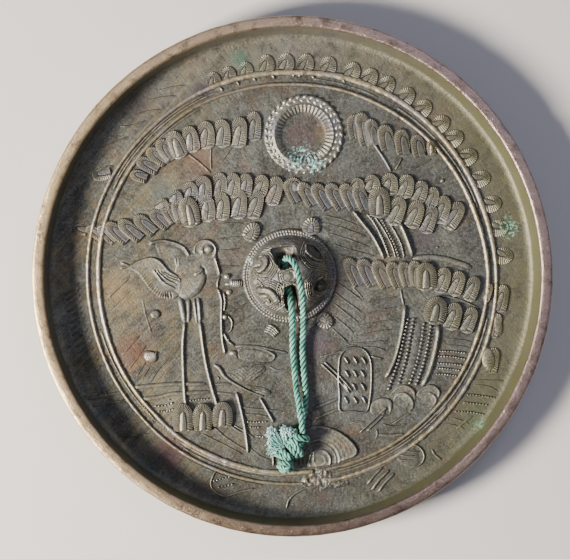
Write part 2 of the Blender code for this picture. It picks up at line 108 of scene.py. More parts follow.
# %% Lines and towers
def spaced(points, pitch, closed=False):
    """Evenly spaced points on a smooth curve through the given ones, in any dimension."""
    spots = [np.array(point, float) for point in points]
    if closed:
        spots = [spots[-1]] + spots + [spots[0], spots[1]]
    else:
        spots = [2 * spots[0] - spots[1]] + spots + [2 * spots[-1] - spots[-2]]
    share = np.linspace(0.0, 1.0, 17)[:-1, None]
    dense = []
    for a, b, c, d in zip(spots, spots[1:], spots[2:], spots[3:]):
        dense.append(0.5 * (2 * b + (c - a) * share + (2 * a - 5 * b + 4 * c - d) * share**2
                            + (3 * b - a - 3 * c + d) * share**3))
    dense = np.concatenate(dense + [spots[-2][None]])
    length = np.concatenate([[0], np.cumsum(np.linalg.norm(np.diff(dense, axis=0), axis=1))])
    count = max(2, int(round(length[-1] / pitch)))
    at = np.linspace(0, length[-1], count + 1)
    if closed:
        at = at[:-1]
    return np.stack([np.interp(at, length, dense[:, k]) for k in range(dense.shape[1])], axis=1)


def tower(rings):
    """A closed solid: a capped circle whose top face is extruded from ring to ring."""
    bm = bmesh.new()
    spot = bm.verts.layers.int.new("spot")
    bmesh.ops.create_circle(bm, cap_ends=True, segments=len(rings[0]), radius=1.0)
    for i, vert in enumerate(bm.verts):
        vert[spot] = i
    bm.faces.ensure_lookup_table()
    top = bm.faces[0]
    for level, ring in enumerate(rings):
        if level:
            lower = top
            made = bmesh.ops.extrude_face_region(bm, geom=[lower])["geom"]
            top = next(part for part in made if isinstance(part, bmesh.types.BMFace))
            if level > 1:
                bmesh.ops.delete(bm, geom=[lower], context="FACES_ONLY")
        for vert in top.verts:
            vert.co = ring[vert[spot]]
    return bm


def stamp(target, small):
    """Adds a small bmesh to a piece."""
    mesh = bpy.data.meshes.new("stamp")
    small.to_mesh(mesh)
    small.free()
    target.from_mesh(mesh)
    bpy.data.meshes.remove(mesh)


def as_object(name, bm):
    """A bmesh as an object of the scene."""
    mesh = bpy.data.meshes.new(name)
    bm.to_mesh(mesh)
    bm.free()
    made = bpy.data.objects.new(name, mesh)
    scene.collection.objects.link(made)
    return made


def finish_piece(name, bm, material, nodes=("mirror",), sharp=35.0):
    """Turns a bmesh in millimetres into a piece in metres that rides on the mirror."""
    bmesh.ops.recalc_face_normals(bm, faces=bm.faces)
    bmesh.ops.scale(bm, vec=(MM, MM, MM), verts=bm.verts)
    piece = as_object(name, bm)
    mesh = piece.data
    mesh.shade_smooth()
    mesh.set_sharp_from_angle(angle=math.radians(sharp))
    mesh.materials.append(material)
    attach(piece, "root")
    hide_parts(*nodes)
    triangles = sum(len(face.vertices) - 2 for face in mesh.polygons)
    print(f"{name}: {triangles} triangles")
    return piece


# %% [markdown]
# ## The silk cord
# The cord is three-ply silk, 1.6 mm with its loose fibres. It goes through the hole under the
# tortoise, so two legs come out of the knob, lie side by side and meet in the knot near the rim.
# A real cord is three strands that wind round each other to the right, and that is how each leg
# is made: three thin tubes that follow a helix round the same line. A single tube with grooves
# would be simpler, but it never gets the deep dark gaps between the strands.

# %% The lines of the cord
ROPE_DIAMETER = 1.36  # of the twisted strands alone
STRANDS = 3
CORD_LAY = 3.5  # length in which a strand goes round once
CORD_UPPER_LEG = [
    (-1.35, 0.2, 1.68), (-1.6, 2.4, 1.9), (-1.5, 3.6, 3.0), (-1.0, 3.9, 4.5),
    (-0.1, 3.2, 6.0), (0.7, 1.8, 6.55), (1.2, 0.0, 6.5), (1.6, -2.0, 6.4), (1.95, -4.0, 6.0),
    (2.1, -6.0, 5.2), (2.2, -7.8, 4.2), (2.25, -9.4, 3.1), (2.3, -11.0, 2.25),
    (2.3, -13.0, 1.5), (2.25, -16.0, 1.2), (2.5, -20.0, 1.2), (2.85, -24.0, 1.2),
    (2.75, -27.0, 1.2), (2.3, -30.0, 1.2), (1.9, -33.5, 1.25)]
CORD_LOWER_LEG = [
    (-1.0, -1.4, 1.68), (-0.75, -3.1, 1.95), (-0.5, -4.6, 2.8), (-0.3, -6.2, 3.55),
    (-0.15, -7.7, 3.45), (-0.05, -9.3, 2.75), (0.0, -10.9, 2.15), (0.05, -12.8, 1.5),
    (0.15, -15.5, 1.2), (0.45, -19.5, 1.2), (0.85, -23.5, 1.5), (1.2, -26.0, 2.4),
    (1.6, -28.5, 3.1), (1.95, -31.0, 3.3), (2.2, -33.5, 3.3)]


def above_ground(points):
    """Points given by their height over the ground, as points over the underside."""
    return [(x, y, GROUND + z) for x, y, z in points]


FRAME_START = (0.3, 0.1, 1.0)  # a direction that no cord sets out in


def frames(line):
    """For each point of a line, two directions across it that turn as little as possible."""
    along = np.gradient(line, axis=0)
    along /= np.linalg.norm(along, axis=1)[:, None]
    side = np.cross(along[0], FRAME_START)
    side /= np.linalg.norm(side)
    found = []
    for direction in along:
        side = side - direction * side.dot(direction)
        side /= np.linalg.norm(side)
        found.append((side, np.cross(direction, side)))
    return found


# %% Twisting strands round a line
def tube(line, radii, sides, thread=None, twist=0.0, middle=None, full=1.0):
    """A closed tube of changing radius. Its thread layer holds where each point is on the yarn,
    and its outward layer how far it is from the middle line of the rope, as a share of full."""
    rings = []
    turns = []
    length = 0.0
    for k, ((side, up), radius) in enumerate(zip(frames(line), radii)):
        if k:
            length += float(np.linalg.norm(line[k] - line[k - 1]))
        angles = 2.0 * math.pi * np.arange(sides) / sides
        rings.append([line[k] + radius * (side * math.cos(a) + up * math.sin(a)) for a in angles])
        turns.append([(math.cos(a - twist * length), math.sin(a - twist * length), length)
                      for a in angles])
    bm = tower(rings)
    if thread:
        layer = bm.verts.layers.float_vector.new(thread)
        outward = bm.verts.layers.float.new("outward")
        near = {}
        for k, (ring, row) in enumerate(zip(rings, turns)):
            for point, turn in zip(ring, row):
                far = 1.0 if middle is None else float(np.linalg.norm(point - middle[k])) / full
                near[tuple(np.round(point, 5))] = (turn, far)
        for vert in bm.verts:
            key = tuple(np.round(np.array(vert.co), 5))
            vert[layer], vert[outward] = near.get(key, ((0.0, 0.0, 0.0), 0.8))
    return bm


def rope(target, points, diameter, lay, pitch=0.17, start=0.0, swell=0.0):
    """Strands laid up round a smooth line. Gives back that line."""
    line = spaced(points, pitch)
    across = frames(line)
    strand = diameter * 0.232
    turn = 2.0 * math.pi * pitch / lay
    for number in range(STRANDS):
        wound = []
        for k, (side, up) in enumerate(across):
            angle = start + turn * k + 2.0 * math.pi * number / STRANDS
            loose = 1.0 + swell * noise.noise(Vector((k * pitch * 0.8, number * 7.0, start)))
            wound.append(line[k] + (diameter / 2.0 - strand) * loose
                         * (side * math.cos(angle) + up * math.sin(angle)))
        wound = np.array(wound)
        radii = [strand * (1.0 + 0.10 * noise.noise(Vector((k * pitch, number * 3.0, 1.0))))
                 for k in range(len(wound))]
        radii[0] *= 0.6
        radii[-1] *= 0.6
        stamp(target, tube(wound, radii, 8, "thread", 2.2 * math.pi / lay, line,
                           diameter / 2.0))
    return line


# %% The two legs of the cord
cord_pieces = {}
cord_lines = {}
for leg, points, start in (("upper", CORD_UPPER_LEG, 0.4), ("lower", CORD_LOWER_LEG, 1.9)):
    bm = bmesh.new()
    cord_lines[leg] = rope(bm, above_ground(points), ROPE_DIAMETER, CORD_LAY, start=start,
                           swell=0.22)
    cord_pieces[leg] = bm
    long = float(np.linalg.norm(np.diff(cord_lines[leg], axis=0), axis=1).sum())
    print(f"{leg} leg: {long:.1f} mm")

# %% [markdown]
# ## The knot and its frayed ends
# The two legs are bound together by a turn of the same cord, cross once more and end in a
# small plaited ball. The cut ends have come apart into soft lumps of loose silk. Loops of rope
# make the knot, and each lump is a few hundred short curled hairs from one root. A hair has only
# two dozen faces, because there are hundreds of them.

# %% The knot
KNOT_LOOPS = [
    # a turn round both legs
    (1.35, [(0.9, -33.0, 1.2), (0.55, -33.5, 2.6), (1.2, -34.1, 4.2), (2.3, -34.3, 4.55),
            (3.0, -34.4, 3.4), (2.95, -34.9, 1.8), (1.9, -35.2, 1.0)]),
    # the legs running on behind it and crossing to the lower left
    (1.4, [(2.0, -33.2, 2.2), (2.1, -34.8, 2.9), (1.5, -35.8, 3.4), (0.6, -35.1, 4.0),
           (-0.2, -34.9, 3.6), (-0.9, -35.5, 2.6)]),
    (1.35, [(-0.5, -34.9, 2.2), (0.2, -35.5, 3.6), (0.95, -36.4, 3.95), (1.7, -37.3, 3.2),
            (1.9, -38.0, 1.7)]),
    (1.3, [(-1.0, -35.6, 1.8), (-0.5, -36.2, 3.2), (0.15, -37.0, 3.6), (0.75, -37.8, 3.0),
           (0.6, -38.5, 1.6)]),
    (1.3, [(-2.6, -36.9, 1.6), (-2.0, -37.2, 2.9), (-1.2, -37.9, 3.5), (-0.5, -38.4, 3.3),
           (0.1, -38.3, 2.0)]),
    (1.25, [(-3.2, -37.9, 1.4), (-2.5, -38.1, 2.8), (-1.6, -38.6, 3.4), (-0.8, -39.2, 3.1),
            (-0.3, -39.8, 1.8)]),
    # the plaited ball
    (1.2, [(-2.7, -39.4, 1.3), (-2.2, -39.6, 3.0), (-1.3, -39.7, 3.9), (-0.5, -40.1, 3.5),
           (-0.2, -40.9, 1.9)]),
    (1.2, [(-2.9, -40.4, 1.4), (-2.3, -40.4, 3.2), (-1.5, -40.9, 3.8), (-0.9, -41.2, 2.8),
           (-0.9, -41.3, 1.4)]),
    (1.15, [(-0.1, -39.5, 1.5), (-0.5, -39.9, 3.3), (-1.0, -40.6, 4.1), (-1.7, -41.1, 3.2),
            (-2.1, -41.2, 1.6)]),
    (1.1, [(-2.4, -41.0, 1.2), (-2.0, -41.25, 2.0), (-1.3, -41.45, 2.1), (-0.6, -41.2, 1.5)]),
]
knot = bmesh.new()
for number, (thick, loop) in enumerate(KNOT_LOOPS):
    rope(knot, above_ground(loop), thick, 2.9, pitch=0.17, start=1.1 * number)

# %% The frayed ends
# Root, then the middle and the half sizes of the soft lump that the hairs fill, over the ground,
# and the number of hairs.
TUFTS = {
    "cord_tuft_left": [((-2.2, -36.4, 2.0), (-4.3, -33.4, 1.9), (1.15, 1.5, 1.3), 150),
                       ((-2.4, -36.8, 1.9), (-4.3, -35.6, 1.8), (1.2, 1.3, 1.3), 120),
                       ((-2.7, -37.3, 1.8), (-4.2, -37.1, 1.5), (1.0, 0.8, 1.0), 60)],
    "cord_tuft_right": [((-1.2, -35.2, 2.4), (-1.7, -32.9, 2.7), (1.0, 1.25, 1.3), 110),
                        ((-1.0, -35.1, 2.4), (-0.3, -33.1, 2.7), (0.9, 1.25, 1.2), 100)],
}
random_tuft = np.random.default_rng(7)
tuft_pieces = {}
for name, locks in TUFTS.items():
    bm = bmesh.new()
    for root, middle, half, hairs in locks:
        root, middle, half = np.array(root), np.array(middle), np.array(half)
        for _ in range(hairs):
            way = random_tuft.normal(size=3)
            end = middle + half * way / np.linalg.norm(way) * random_tuft.uniform(0.55, 1.0)
            bend = root + (end - root) * 0.55 + random_tuft.normal(size=3) * 0.30
            curl = end + random_tuft.normal(size=3) * 0.32
            near = root + random_tuft.normal(size=3) * 0.28
            hair = np.array([near, bend, end, curl])
            hair[:, 2] = np.maximum(hair[:, 2], 0.35)
            line = spaced(hair, 0.5) + np.array([0.0, 0.0, GROUND])
            thick = random_tuft.uniform(0.08, 0.15)
            radii = thick * np.linspace(0.8, 1.0, len(line))
            stamp(bm, tube(line, radii, 3, "thread"))
    tuft_pieces[name] = bm

# %% [markdown]
# ## Materials: the helper
# `add_node` puts one node into a material with its settings and links. Colours are written as
# sRGB hex values, as a painter picks them, and `linear` turns them into the numbers that light
# is worked out with.


# %% Colour and nodes
def linear(hex_text):
    """An sRGB hex colour as linear red, green, blue and alpha."""
    values = [int(hex_text[i:i + 2], 16) / 255.0 for i in (1, 3, 5)]
    return (*(v / 12.92 if v <= 0.04045 else ((v + 0.055) / 1.055) ** 2.4 for v in values), 1.0)


def add_node(tree, kind, inputs=None, **settings):
    """A node with its settings. An input is a value, or a node or socket to link from."""
    node = tree.nodes.new(kind)
    for key, value in settings.items():
        setattr(node, key, value)
    for key, value in (inputs or {}).items():
        socket = node.inputs[key] if isinstance(key, int) else next(
            s for s in node.inputs if s.enabled and s.name == key)
        if isinstance(value, bpy.types.Node):
            value = next(s for s in value.outputs if s.enabled)
        if isinstance(value, bpy.types.NodeSocket):
            tree.links.new(value, socket)
        else:
            socket.default_value = value
    return node


def new_material(name):
    """An empty material with a Principled shader, and its node tree."""
    material = bpy.data.materials.new(name)
    material.use_nodes = True
    return material, material.node_tree, material.node_tree.nodes["Principled BSDF"]


def in_millimetres(tree):
    """Object coordinates in millimetres."""
    place = add_node(tree, "ShaderNodeTexCoord")
    return add_node(tree, "ShaderNodeVectorMath", {"Vector": place.outputs["Object"],
                                                   "Scale": 1000.0}, operation="SCALE")


# %% [markdown]
# ## Silk
# Dyed silk is a bundle of fine filaments. They lie along each strand, so the cord has soft
# streaks that follow the yarn, and a faint sheen. The dye has faded to pale mint where the
# cord rubs, and the tops of the strands are painted paler still as a highlight. The gaps
# between the strands are dark: dye that stayed dark there, and painted shade. The frayed ends
# are nearly white.


# %% The silk materials
def make_silk(name, deep, middle, pale, gap):
    """Twisted or loose silk: painted shade in the gaps, faded dye and a painted highlight on top."""
    material, tree, shader = new_material(name)
    thread = add_node(tree, "ShaderNodeAttribute", attribute_name="thread")
    stretched = add_node(tree, "ShaderNodeVectorMath",
                         {0: thread.outputs["Vector"], 1: (2.2, 2.2, 0.9)}, operation="MULTIPLY")
    filaments = add_node(tree, "ShaderNodeTexNoise",
                         {"Vector": stretched, "Scale": 2.6, "Detail": 3.0, "Roughness": 0.6})
    place = in_millimetres(tree)
    fading = add_node(tree, "ShaderNodeTexNoise",
                      {"Vector": place, "Scale": 0.45, "Detail": 2.0})
    outward = add_node(tree, "ShaderNodeAttribute", attribute_name="outward").outputs["Fac"]
    tone = add_node(tree, "ShaderNodeMath", {0: filaments, 1: fading}, operation="ADD")
    # the tops of the strands, far from the rope's middle line, are paler: faded dye and a painted
    # highlight
    tone = add_node(tree, "ShaderNodeMath", {0: outward, 1: 1.1, 2: tone},
                    operation="MULTIPLY_ADD")
    spread = add_node(tree, "ShaderNodeMapRange",
                      {"Value": tone, "From Min": 1.75, "From Max": 2.25})
    dye_and_highlight = add_node(tree, "ShaderNodeMix",
                    {"Factor": spread, "A": linear(middle), "B": linear(pale)}, data_type="RGBA")
    # painted shade: occlusion and nearness to the rope's middle line darken the gaps to the deep
    # colour
    shut_in = add_node(tree, "ShaderNodeAmbientOcclusion", {"Distance": gap * MM}, samples=6)
    deep_in = add_node(tree, "ShaderNodeMapRange",
                       {"Value": outward, "From Min": 0.50, "From Max": 0.84})
    unshaded_share = add_node(tree, "ShaderNodeMapRange",
                          {"Value": shut_in.outputs["AO"], "From Min": 0.35, "From Max": 0.88})
    unshaded_share = add_node(tree, "ShaderNodeMath", {0: unshaded_share, 1: deep_in},
                          operation="MULTIPLY")
    colour = add_node(tree, "ShaderNodeMix",
                      {"Factor": unshaded_share, "A": linear(deep), "B": dye_and_highlight}, data_type="RGBA")
    bump = add_node(tree, "ShaderNodeBump", {"Height": filaments, "Strength": 0.5,
                                             "Distance": 0.06 * MM})
    tree.links.new(next(s for s in colour.outputs if s.enabled), shader.inputs["Base Color"])
    tree.links.new(bump.outputs[0], shader.inputs["Normal"])
    shader.inputs["Roughness"].default_value = 0.62
    shader.inputs["Sheen Weight"].default_value = 0.35
    shader.inputs["Sheen Roughness"].default_value = 0.4
    return material


silk = make_silk("faded_silk_cord", "#04241E", "#26745F", "#88CEB7", 0.7)
frayed_silk = make_silk("frayed_silk_ends", "#3E9A8C", "#AEE4D8", "#E6FBF6", 0.5)

# %% Placing the cord, the knot and the frayed ends
knot_piece = finish_piece("cord_knot_loops", knot, silk, ("cord_knot",), sharp=60.0)
tufts = [finish_piece(name, bm, frayed_silk, ("cord_knot",), sharp=60.0)
         for name, bm in tuft_pieces.items()]
for leg, bm in cord_pieces.items():
    piece = finish_piece(f"cord_{leg}_leg", bm, silk, ("cord",), sharp=60.0)
    line = cord_lines[leg] * MM

# %% [markdown]
# ## Patinated bronze
# The casting is a high-tin bronze. Years of handling and storage have given it a thin brown and
# olive patina, with reddish cuprite where it is thin and a cream and grey-lilac tone where the
# relief is rubbed. The grey-lilac is also a painted reflection, and the whitest crests and the
# golden ring lines are partly painted highlight. Dark dirt and painted shade sit in the
# corners. The inner wall is green-gold at the right and is painted lighter at the bottom, where
# it lies in shadow. The rim is rubbed to a pinkish tan and is painted lighter on the left,
# towards the lamp. A few spots of green and blue-green corrosion have grown. All patterns are
# placed by millimetres on the mirror itself, so a stain runs over the relief as it does on the
# real thing.

# %% The bronze material
# Stains: x, y, radius in mm, colour and strength.
STAINS = [
    (28.0, 8.0, 4.0, "#5E4C50", 0.4), (-26.0, -37.0, 4.5, "#5A3440", 0.6),
    (-31.5, -42.0, 4.0, "#22373B", 0.7), (-19.0, 39.5, 2.6, "#3D3142", 0.75),
    (-32.5, 36.5, 5.0, "#3D3436", 0.5), (-37.0, -3.0, 6.0, "#A38A5C", 0.35),
    (-34.0, -16.0, 5.0, "#8E5E44", 0.4), (-20.0, 24.5, 5.0, "#9A7258", 0.35),
    (5.0, -14.0, 4.5, "#5E4E58", 0.55), (2.6, 30.0, 4.2, "#5B4547", 0.5),
    (6.5, 30.5, 2.4, "#7E6440", 0.35), (14.0, 45.0, 5.0, "#59604F", 0.5),
    (-28.0, 17.5, 4.0, "#6E7568", 0.45), (40.0, -31.0, 5.0, "#5C7A60", 0.35),
    (-47.0, 30.0, 7.0, "#3A3430", 0.4), (30.0, 31.0, 7.0, "#8A7D66", 0.3),
    (-15.0, -22.0, 6.0, "#6F6C60", 0.4), (20.0, 1.0, 5.0, "#A59670", 0.3),
    (-8.0, 44.5, 4.0, "#77806A", 0.4), (-11.2, 46.2, 2.4, "#3F7460", 0.75),
    (4.0, -34.0, 3.5, "#4A3E40", 0.5)]
# Verdigris: x, y, radius in mm, colour.
VERDIGRIS = [
    (2.0, 26.6, 1.6, "#8CC9C0"), (1.0, 24.6, 1.6, "#7FC0B8"), (5.0, 23.9, 1.8, "#7CC0BE"),
    (3.6, 25.4, 1.4, "#A9D6CE"), (-10.6, 44.6, 0.9, "#4F8468"),
    (46.3, 10.5, 1.9, "#6FB39A"), (47.3, 9.0, 1.1, "#7CC0A8"), (-9.2, 3.4, 0.9, "#B8D2D8"),
    (40.0, -32.0, 1.6, "#5F8A66"), (-19.0, 41.8, 0.7, "#71906F")]


def make_bronze():
    material, tree, shader = new_material("patinated_high_tin_bronze")
    place = in_millimetres(tree)
    split = add_node(tree, "ShaderNodeSeparateXYZ", {"Vector": place})
    across, along, height = (split.outputs[axis] for axis in "XYZ")
    # Patterns by the size of their patches: clouds and blotches of patina, grit and grain of the
    # cast skin, cuprite, and thin grey films
    clouds, blotches, grit, grain, cuprite, film = (
        add_node(tree, "ShaderNodeTexNoise", {"Vector": place, "Scale": scale, "Detail": detail,
                                              "Roughness": rough, "Distortion": twist})
        for scale, detail, rough, twist in ((0.10, 4.0, 0.6, 0.0), (0.42, 5.0, 0.65, 0.0),
                                            (1.7, 4.0, 0.7, 0.0), (2.6, 4.0, 0.7, 0.0),
                                            (0.16, 5.0, 0.62, 0.6), (0.21, 4.0, 0.6, 0.0)))

    def where(*limits):
        """A mask that is high where all of its limits are. A limit is a mask made before, or what
        is measured, the values it goes between, and what the mask goes from and to there."""
        mask = None
        for limit in limits:
            if isinstance(limit, tuple):
                source, low, high, *ends = limit
                first, last = (*ends, *(0.0, 1.0)[len(ends):])
                limit = add_node(tree, "ShaderNodeMapRange",
                                 {"Value": source, "From Min": low, "From Max": high,
                                  "To Min": first, "To Max": last})
            mask = limit if mask is None else add_node(
                tree, "ShaderNodeMath", {0: mask, 1: limit}, operation="MULTIPLY")
        return mask

    def shaded(under, shade, *limits):
        """A colour, or a second pattern, laid over the first where the limits allow."""
        over = linear(shade) if isinstance(shade, str) else shade
        return add_node(tree, "ShaderNodeMix", {"Factor": where(*limits), "A": under, "B": over},
                        data_type="RGBA")

    def streaked(turn, lengthwise, crosswise):
        """Noise drawn out into streaks at an angle, with its scales along and across them."""
        turned = add_node(tree, "ShaderNodeVectorRotate",
                          {"Vector": place, "Angle": math.radians(-turn)},
                          rotation_type="Z_AXIS")
        drawn = add_node(tree, "ShaderNodeVectorMath",
                         {0: turned, 1: (lengthwise, crosswise, 1.0)}, operation="MULTIPLY")
        return add_node(tree, "ShaderNodeTexNoise", {"Vector": drawn, "Scale": 1.0,
                                                     "Detail": 3.0, "Roughness": 0.6})

    def ragged_spot(x, y, z, uneven, pattern):
        """The distance from a spot, made uneven by a pattern."""
        away = add_node(tree, "ShaderNodeVectorMath", {0: place, 1: (x, y, z)},
                        operation="DISTANCE")
        return add_node(tree, "ShaderNodeMath",
                        {0: pattern, 1: uneven, 2: away.outputs["Value"]},
                        operation="MULTIPLY_ADD")

    # Olive and brown patina, gritty down to the finest grain
    tone = clouds
    for share, pattern in ((0.50, blotches), (0.42, grit)):
        tone = add_node(tree, "ShaderNodeMix", {"Factor": share, "A": tone, "B": pattern},
                        data_type="FLOAT")
    ramp = add_node(tree, "ShaderNodeValToRGB", {"Fac": tone})
    stops = ((0.34, "#23231E"), (0.44, "#44453F"), (0.53, "#60625A"), (0.64, "#888A80"))
    ramp.color_ramp.elements[0].position, ramp.color_ramp.elements[1].position = 0.34, 0.64
    for position, _ in stops[1:-1]:
        ramp.color_ramp.elements.new(position)
    for element, (_, shade) in zip(ramp.color_ramp.elements, stops):
        element.color = linear(shade)
    # Fine pale and dark specks
    colour = shaded(ramp, "#B3AC98", (grain, 0.54, 0.70, 0.0, 0.45))
    colour = shaded(colour, "#1C1913", (grain, 0.45, 0.30, 0.0, 0.55))
    # Reddish cuprite in cloudy patches
    red = where((cuprite, 0.52, 0.74, 0.0, 0.38))
    colour = shaded(colour, "#70462E", red)
    # Blue-grey films, mostly to the right
    colour = shaded(colour, "#54585A", (film, 0.48, 0.66, 0.0, 0.5), (across, -30.0, 25.0, 0.25))
    # Ochre wear in broad slanting bands with a few scratches, mostly to the left
    left = where((across, -4.0, -30.0, 0.15))
    for turn, crosswise, shade, strength in ((46.0, 0.34, "#86794F", 0.46),
                                             (-64.0, 0.40, "#94835A", 0.40),
                                             (42.0, 1.3, "#2A241A", 0.4),
                                             (50.0, 1.7, "#A09070", 0.35)):
        colour = shaded(colour, shade,
                        (streaked(turn, 0.10, crosswise), 0.50, 0.72, 0.0, strength), left)
    # Cloudy stains
    for x, y, radius, shade, strength in STAINS:
        mask = add_node(tree, "ShaderNodeMapRange",
                        {"Value": ragged_spot(x, y, GROUND, -1.4 * radius, blotches),
                         "From Min": 0.55 * radius, "From Max": -0.6 * radius,
                         "To Min": 0.0, "To Max": strength}, interpolation_type="SMOOTHSTEP")
        colour = shaded(colour, shade, mask)
    # The lower edge of the field is darker
    colour = shaded(colour, "#2B261A", (along, -30.0, -47.0, 0.0, 0.2))

    # Rubbed metal on the tops of the relief, above all where an edge stands out: cream in places,
    # grey-lilac in others. The grey-lilac is also a painted reflection of the cool light, and the
    # whitened crests are also a painted highlight
    from_axis = add_node(tree, "ShaderNodeVectorMath", {0: place, 1: (1.0, 1.0, 0.0)},
                         operation="MULTIPLY")
    from_axis = add_node(tree, "ShaderNodeVectorMath", {0: from_axis},
                         operation="LENGTH").outputs["Value"]
    stands_out = add_node(tree, "ShaderNodeAmbientOcclusion", {"Distance": 0.32 * MM},
                          samples=6, inside=True, only_local=True).outputs["AO"]
    low_tops = where((height, GROUND + 0.15, GROUND + 0.50), (from_axis, 10.3, 10.9, 0.7))
    rubbed = where(low_tops, (height, GROUND + 1.3, GROUND + 2.4, 1.0, 0.95),
                   (grit, 0.35, 0.62, 0.4), (stands_out, 0.92, 0.55, 0.30))
    colour = shaded(colour, shaded(linear("#C0BCA9"), "#A29FAA", (film, 0.46, 0.64)), rubbed)
    # the most prominent crests are whitened: wear, and a painted highlight
    colour = shaded(colour, "#E2DDCB", rubbed, (stands_out, 0.66, 0.40, 0.0, 0.8))
    # The ring lines are rubbed to a golden tan and a silver-lilac, which also paint a highlight on
    # them
    ring_wear_and_highlight = where((from_axis, 40.0, 40.6), (from_axis, 45.0, 44.4), low_tops,
                    (grit, 0.35, 0.6, 0.1, 0.9))
    colour = shaded(colour, "#BFAE8A", ring_wear_and_highlight)
    colour = shaded(colour, "#A8A3A8", ring_wear_and_highlight, (film, 0.50, 0.58, 0.0, 0.8))
    # Outside the ring the ground is paler at the top and to the right
    outside_ring = where((from_axis, 43.5, 46.0))
    slanting = add_node(tree, "ShaderNodeMath", {0: across, 1: along}, operation="ADD")
    colour = shaded(colour, "#938B76", outside_ring, (slanting, -10.0, 30.0),
                    (blotches, 0.35, 0.6, 0.1, 0.4))
    # The inner wall is green-gold to the right
    colour = shaded(colour, "#5F5D3B", outside_ring, (across, 12.0, 36.0),
                    (blotches, 0.35, 0.6, 0.15, 0.6))
    # the inner wall gets a lighter green-gold at the right, and at the bottom as painted light where
    # it lies in shadow
    right_or_low = add_node(tree, "ShaderNodeMath", {0: where((across, 10.0, 40.0)),
                                                    1: where((along, -25.0, -45.0))},
                           operation="MAXIMUM")
    colour = shaded(colour, "#787850", (height, 2.45, 3.5), right_or_low,
                    (from_axis, 53.3, 53.0), (blotches, 0.35, 0.6, 0.2, 0.8))
    # The rim is rubbed tan on the left and pinkish brown on the right, with fine scratches; the
    # lighter left, towards the lamp, is painted light, and it is darker towards the bottom
    rim = where((height, 8.2, 8.7))
    rim_tone = shaded(linear("#D8BD8E"), "#A28D84", (across, -50.0, 20.0))
    rim_tone = shaded(rim_tone, "#4E3A2E", (blotches, 0.50, 0.68, 0.0, 0.7))
    # painted glints: pale specks on the rim
    rim_tone = shaded(rim_tone, "#CDBDA8", (grit, 0.54, 0.66, 0.0, 0.5))
    for turn in (35.0, -40.0):
        rim_tone = shaded(rim_tone, "#5A3A2C", (streaked(turn, 0.3, 3.0), 0.58, 0.68, 0.0, 0.35))
    rim_tone = shaded(rim_tone, "#3A2C22", (along, -36.0, -54.0, 0.0, 0.5))
    colour = shaded(colour, rim_tone, rim)
    # The polished face underneath
    face = where((height, 0.25, 0.05))
    colour = shaded(colour, shaded(linear("#B5B09E"), "#6D5B45", red), face)
    # Dirt and painted shade in the corners: occlusion darkens every crevice and foot of the relief
    shut_in = add_node(tree, "ShaderNodeAmbientOcclusion", {"Distance": 0.6 * MM}, samples=6)
    dirt_and_shade = where((shut_in.outputs["AO"], 0.70, 0.26, 0.0, 0.9),
                 (height, GROUND + 0.4, GROUND + 0.75, 1.0, 0.3))
    colour = shaded(colour, "#14100A", dirt_and_shade)
    # Verdigris
    dull = dirt_and_shade
    for x, y, radius, shade in VERDIGRIS:
        spot = ragged_spot(x, y, GROUND + 0.8, -8.0 * radius, grit)
        mask = where((spot, -3.4 * radius, -3.8 * radius, 0.0, 0.85))
        colour = shaded(colour, shade, mask)
        dull = add_node(tree, "ShaderNodeMath", {0: dull, 1: mask}, operation="MAXIMUM")
    tree.links.new(next(s for s in colour.outputs if s.enabled), shader.inputs["Base Color"])

    # Metal shows where it is rubbed; patina, crust and the corners darkened for dirt and shade are
    # dull
    bare = rubbed
    for mask in (rim, face):
        bare = add_node(tree, "ShaderNodeMath", {0: bare, 1: mask}, operation="MAXIMUM")
    metal = add_node(tree, "ShaderNodeMath", {0: where((bare, 0.0, 1.0, 0.60, 0.9)), 1: dull},
                     operation="SUBTRACT", use_clamp=True)
    tree.links.new(metal.outputs[0], shader.inputs["Metallic"])
    rough = add_node(tree, "ShaderNodeMath",
                     {0: grit, 1: 0.22, 2: where((bare, 0.0, 1.0, 0.38, 0.24))},
                     operation="MULTIPLY_ADD")
    for mask, change, clamp in ((face, -0.28, False), (dull, 0.35, True)):
        rough = add_node(tree, "ShaderNodeMath", {0: mask, 1: change, 2: rough},
                         operation="MULTIPLY_ADD", use_clamp=clamp)
    tree.links.new(rough.outputs[0], shader.inputs["Roughness"])

    # Casting grain, pits and scratches; the polished face keeps only a trace of them
    relief = add_node(tree, "ShaderNodeMath", {0: blotches, 1: 1.1, 2: grain},
                      operation="MULTIPLY_ADD")
    for turn in (48.0, -52.0):
        relief = add_node(tree, "ShaderNodeMath", {0: streaked(turn, 0.12, 1.6), 1: 0.5,
                                                   2: relief}, operation="MULTIPLY_ADD")
    bump = add_node(tree, "ShaderNodeBump", {"Height": relief,
                                             "Strength": where((face, 0.0, 1.0, 0.75, 0.08)),
                                             "Distance": 0.13 * MM})
    tree.links.new(bump.outputs[0], shader.inputs["Normal"])
    return material


bronze = make_bronze()

# %% [markdown]
# ## The plate and the rim
# The mirror is a disc with a tall rim that leans out a little, so that it came out of its mould.
# A line of vertices is spun once round the axis, which gives the underside, the rim and the
# ground in one closed surface. A cast ground is never quite flat: its vertices are moved up and
# down by smooth noise. The rim has lost its sharp edges and has a few nicks.

# %% The turned body
GROUND_STEP = 0.62
STEPS_AROUND = 330
NICKS = [(34.5, 0.55, 0.9), (-39.5, 0.5, 1.2), (55.4, 0.35, 0.8), (-87.0, 0.3, 1.0),
         (163.0, 0.25, 1.1), (207.0, 0.3, 0.7), (121.0, 0.25, 0.9)]  # degrees, depth, width

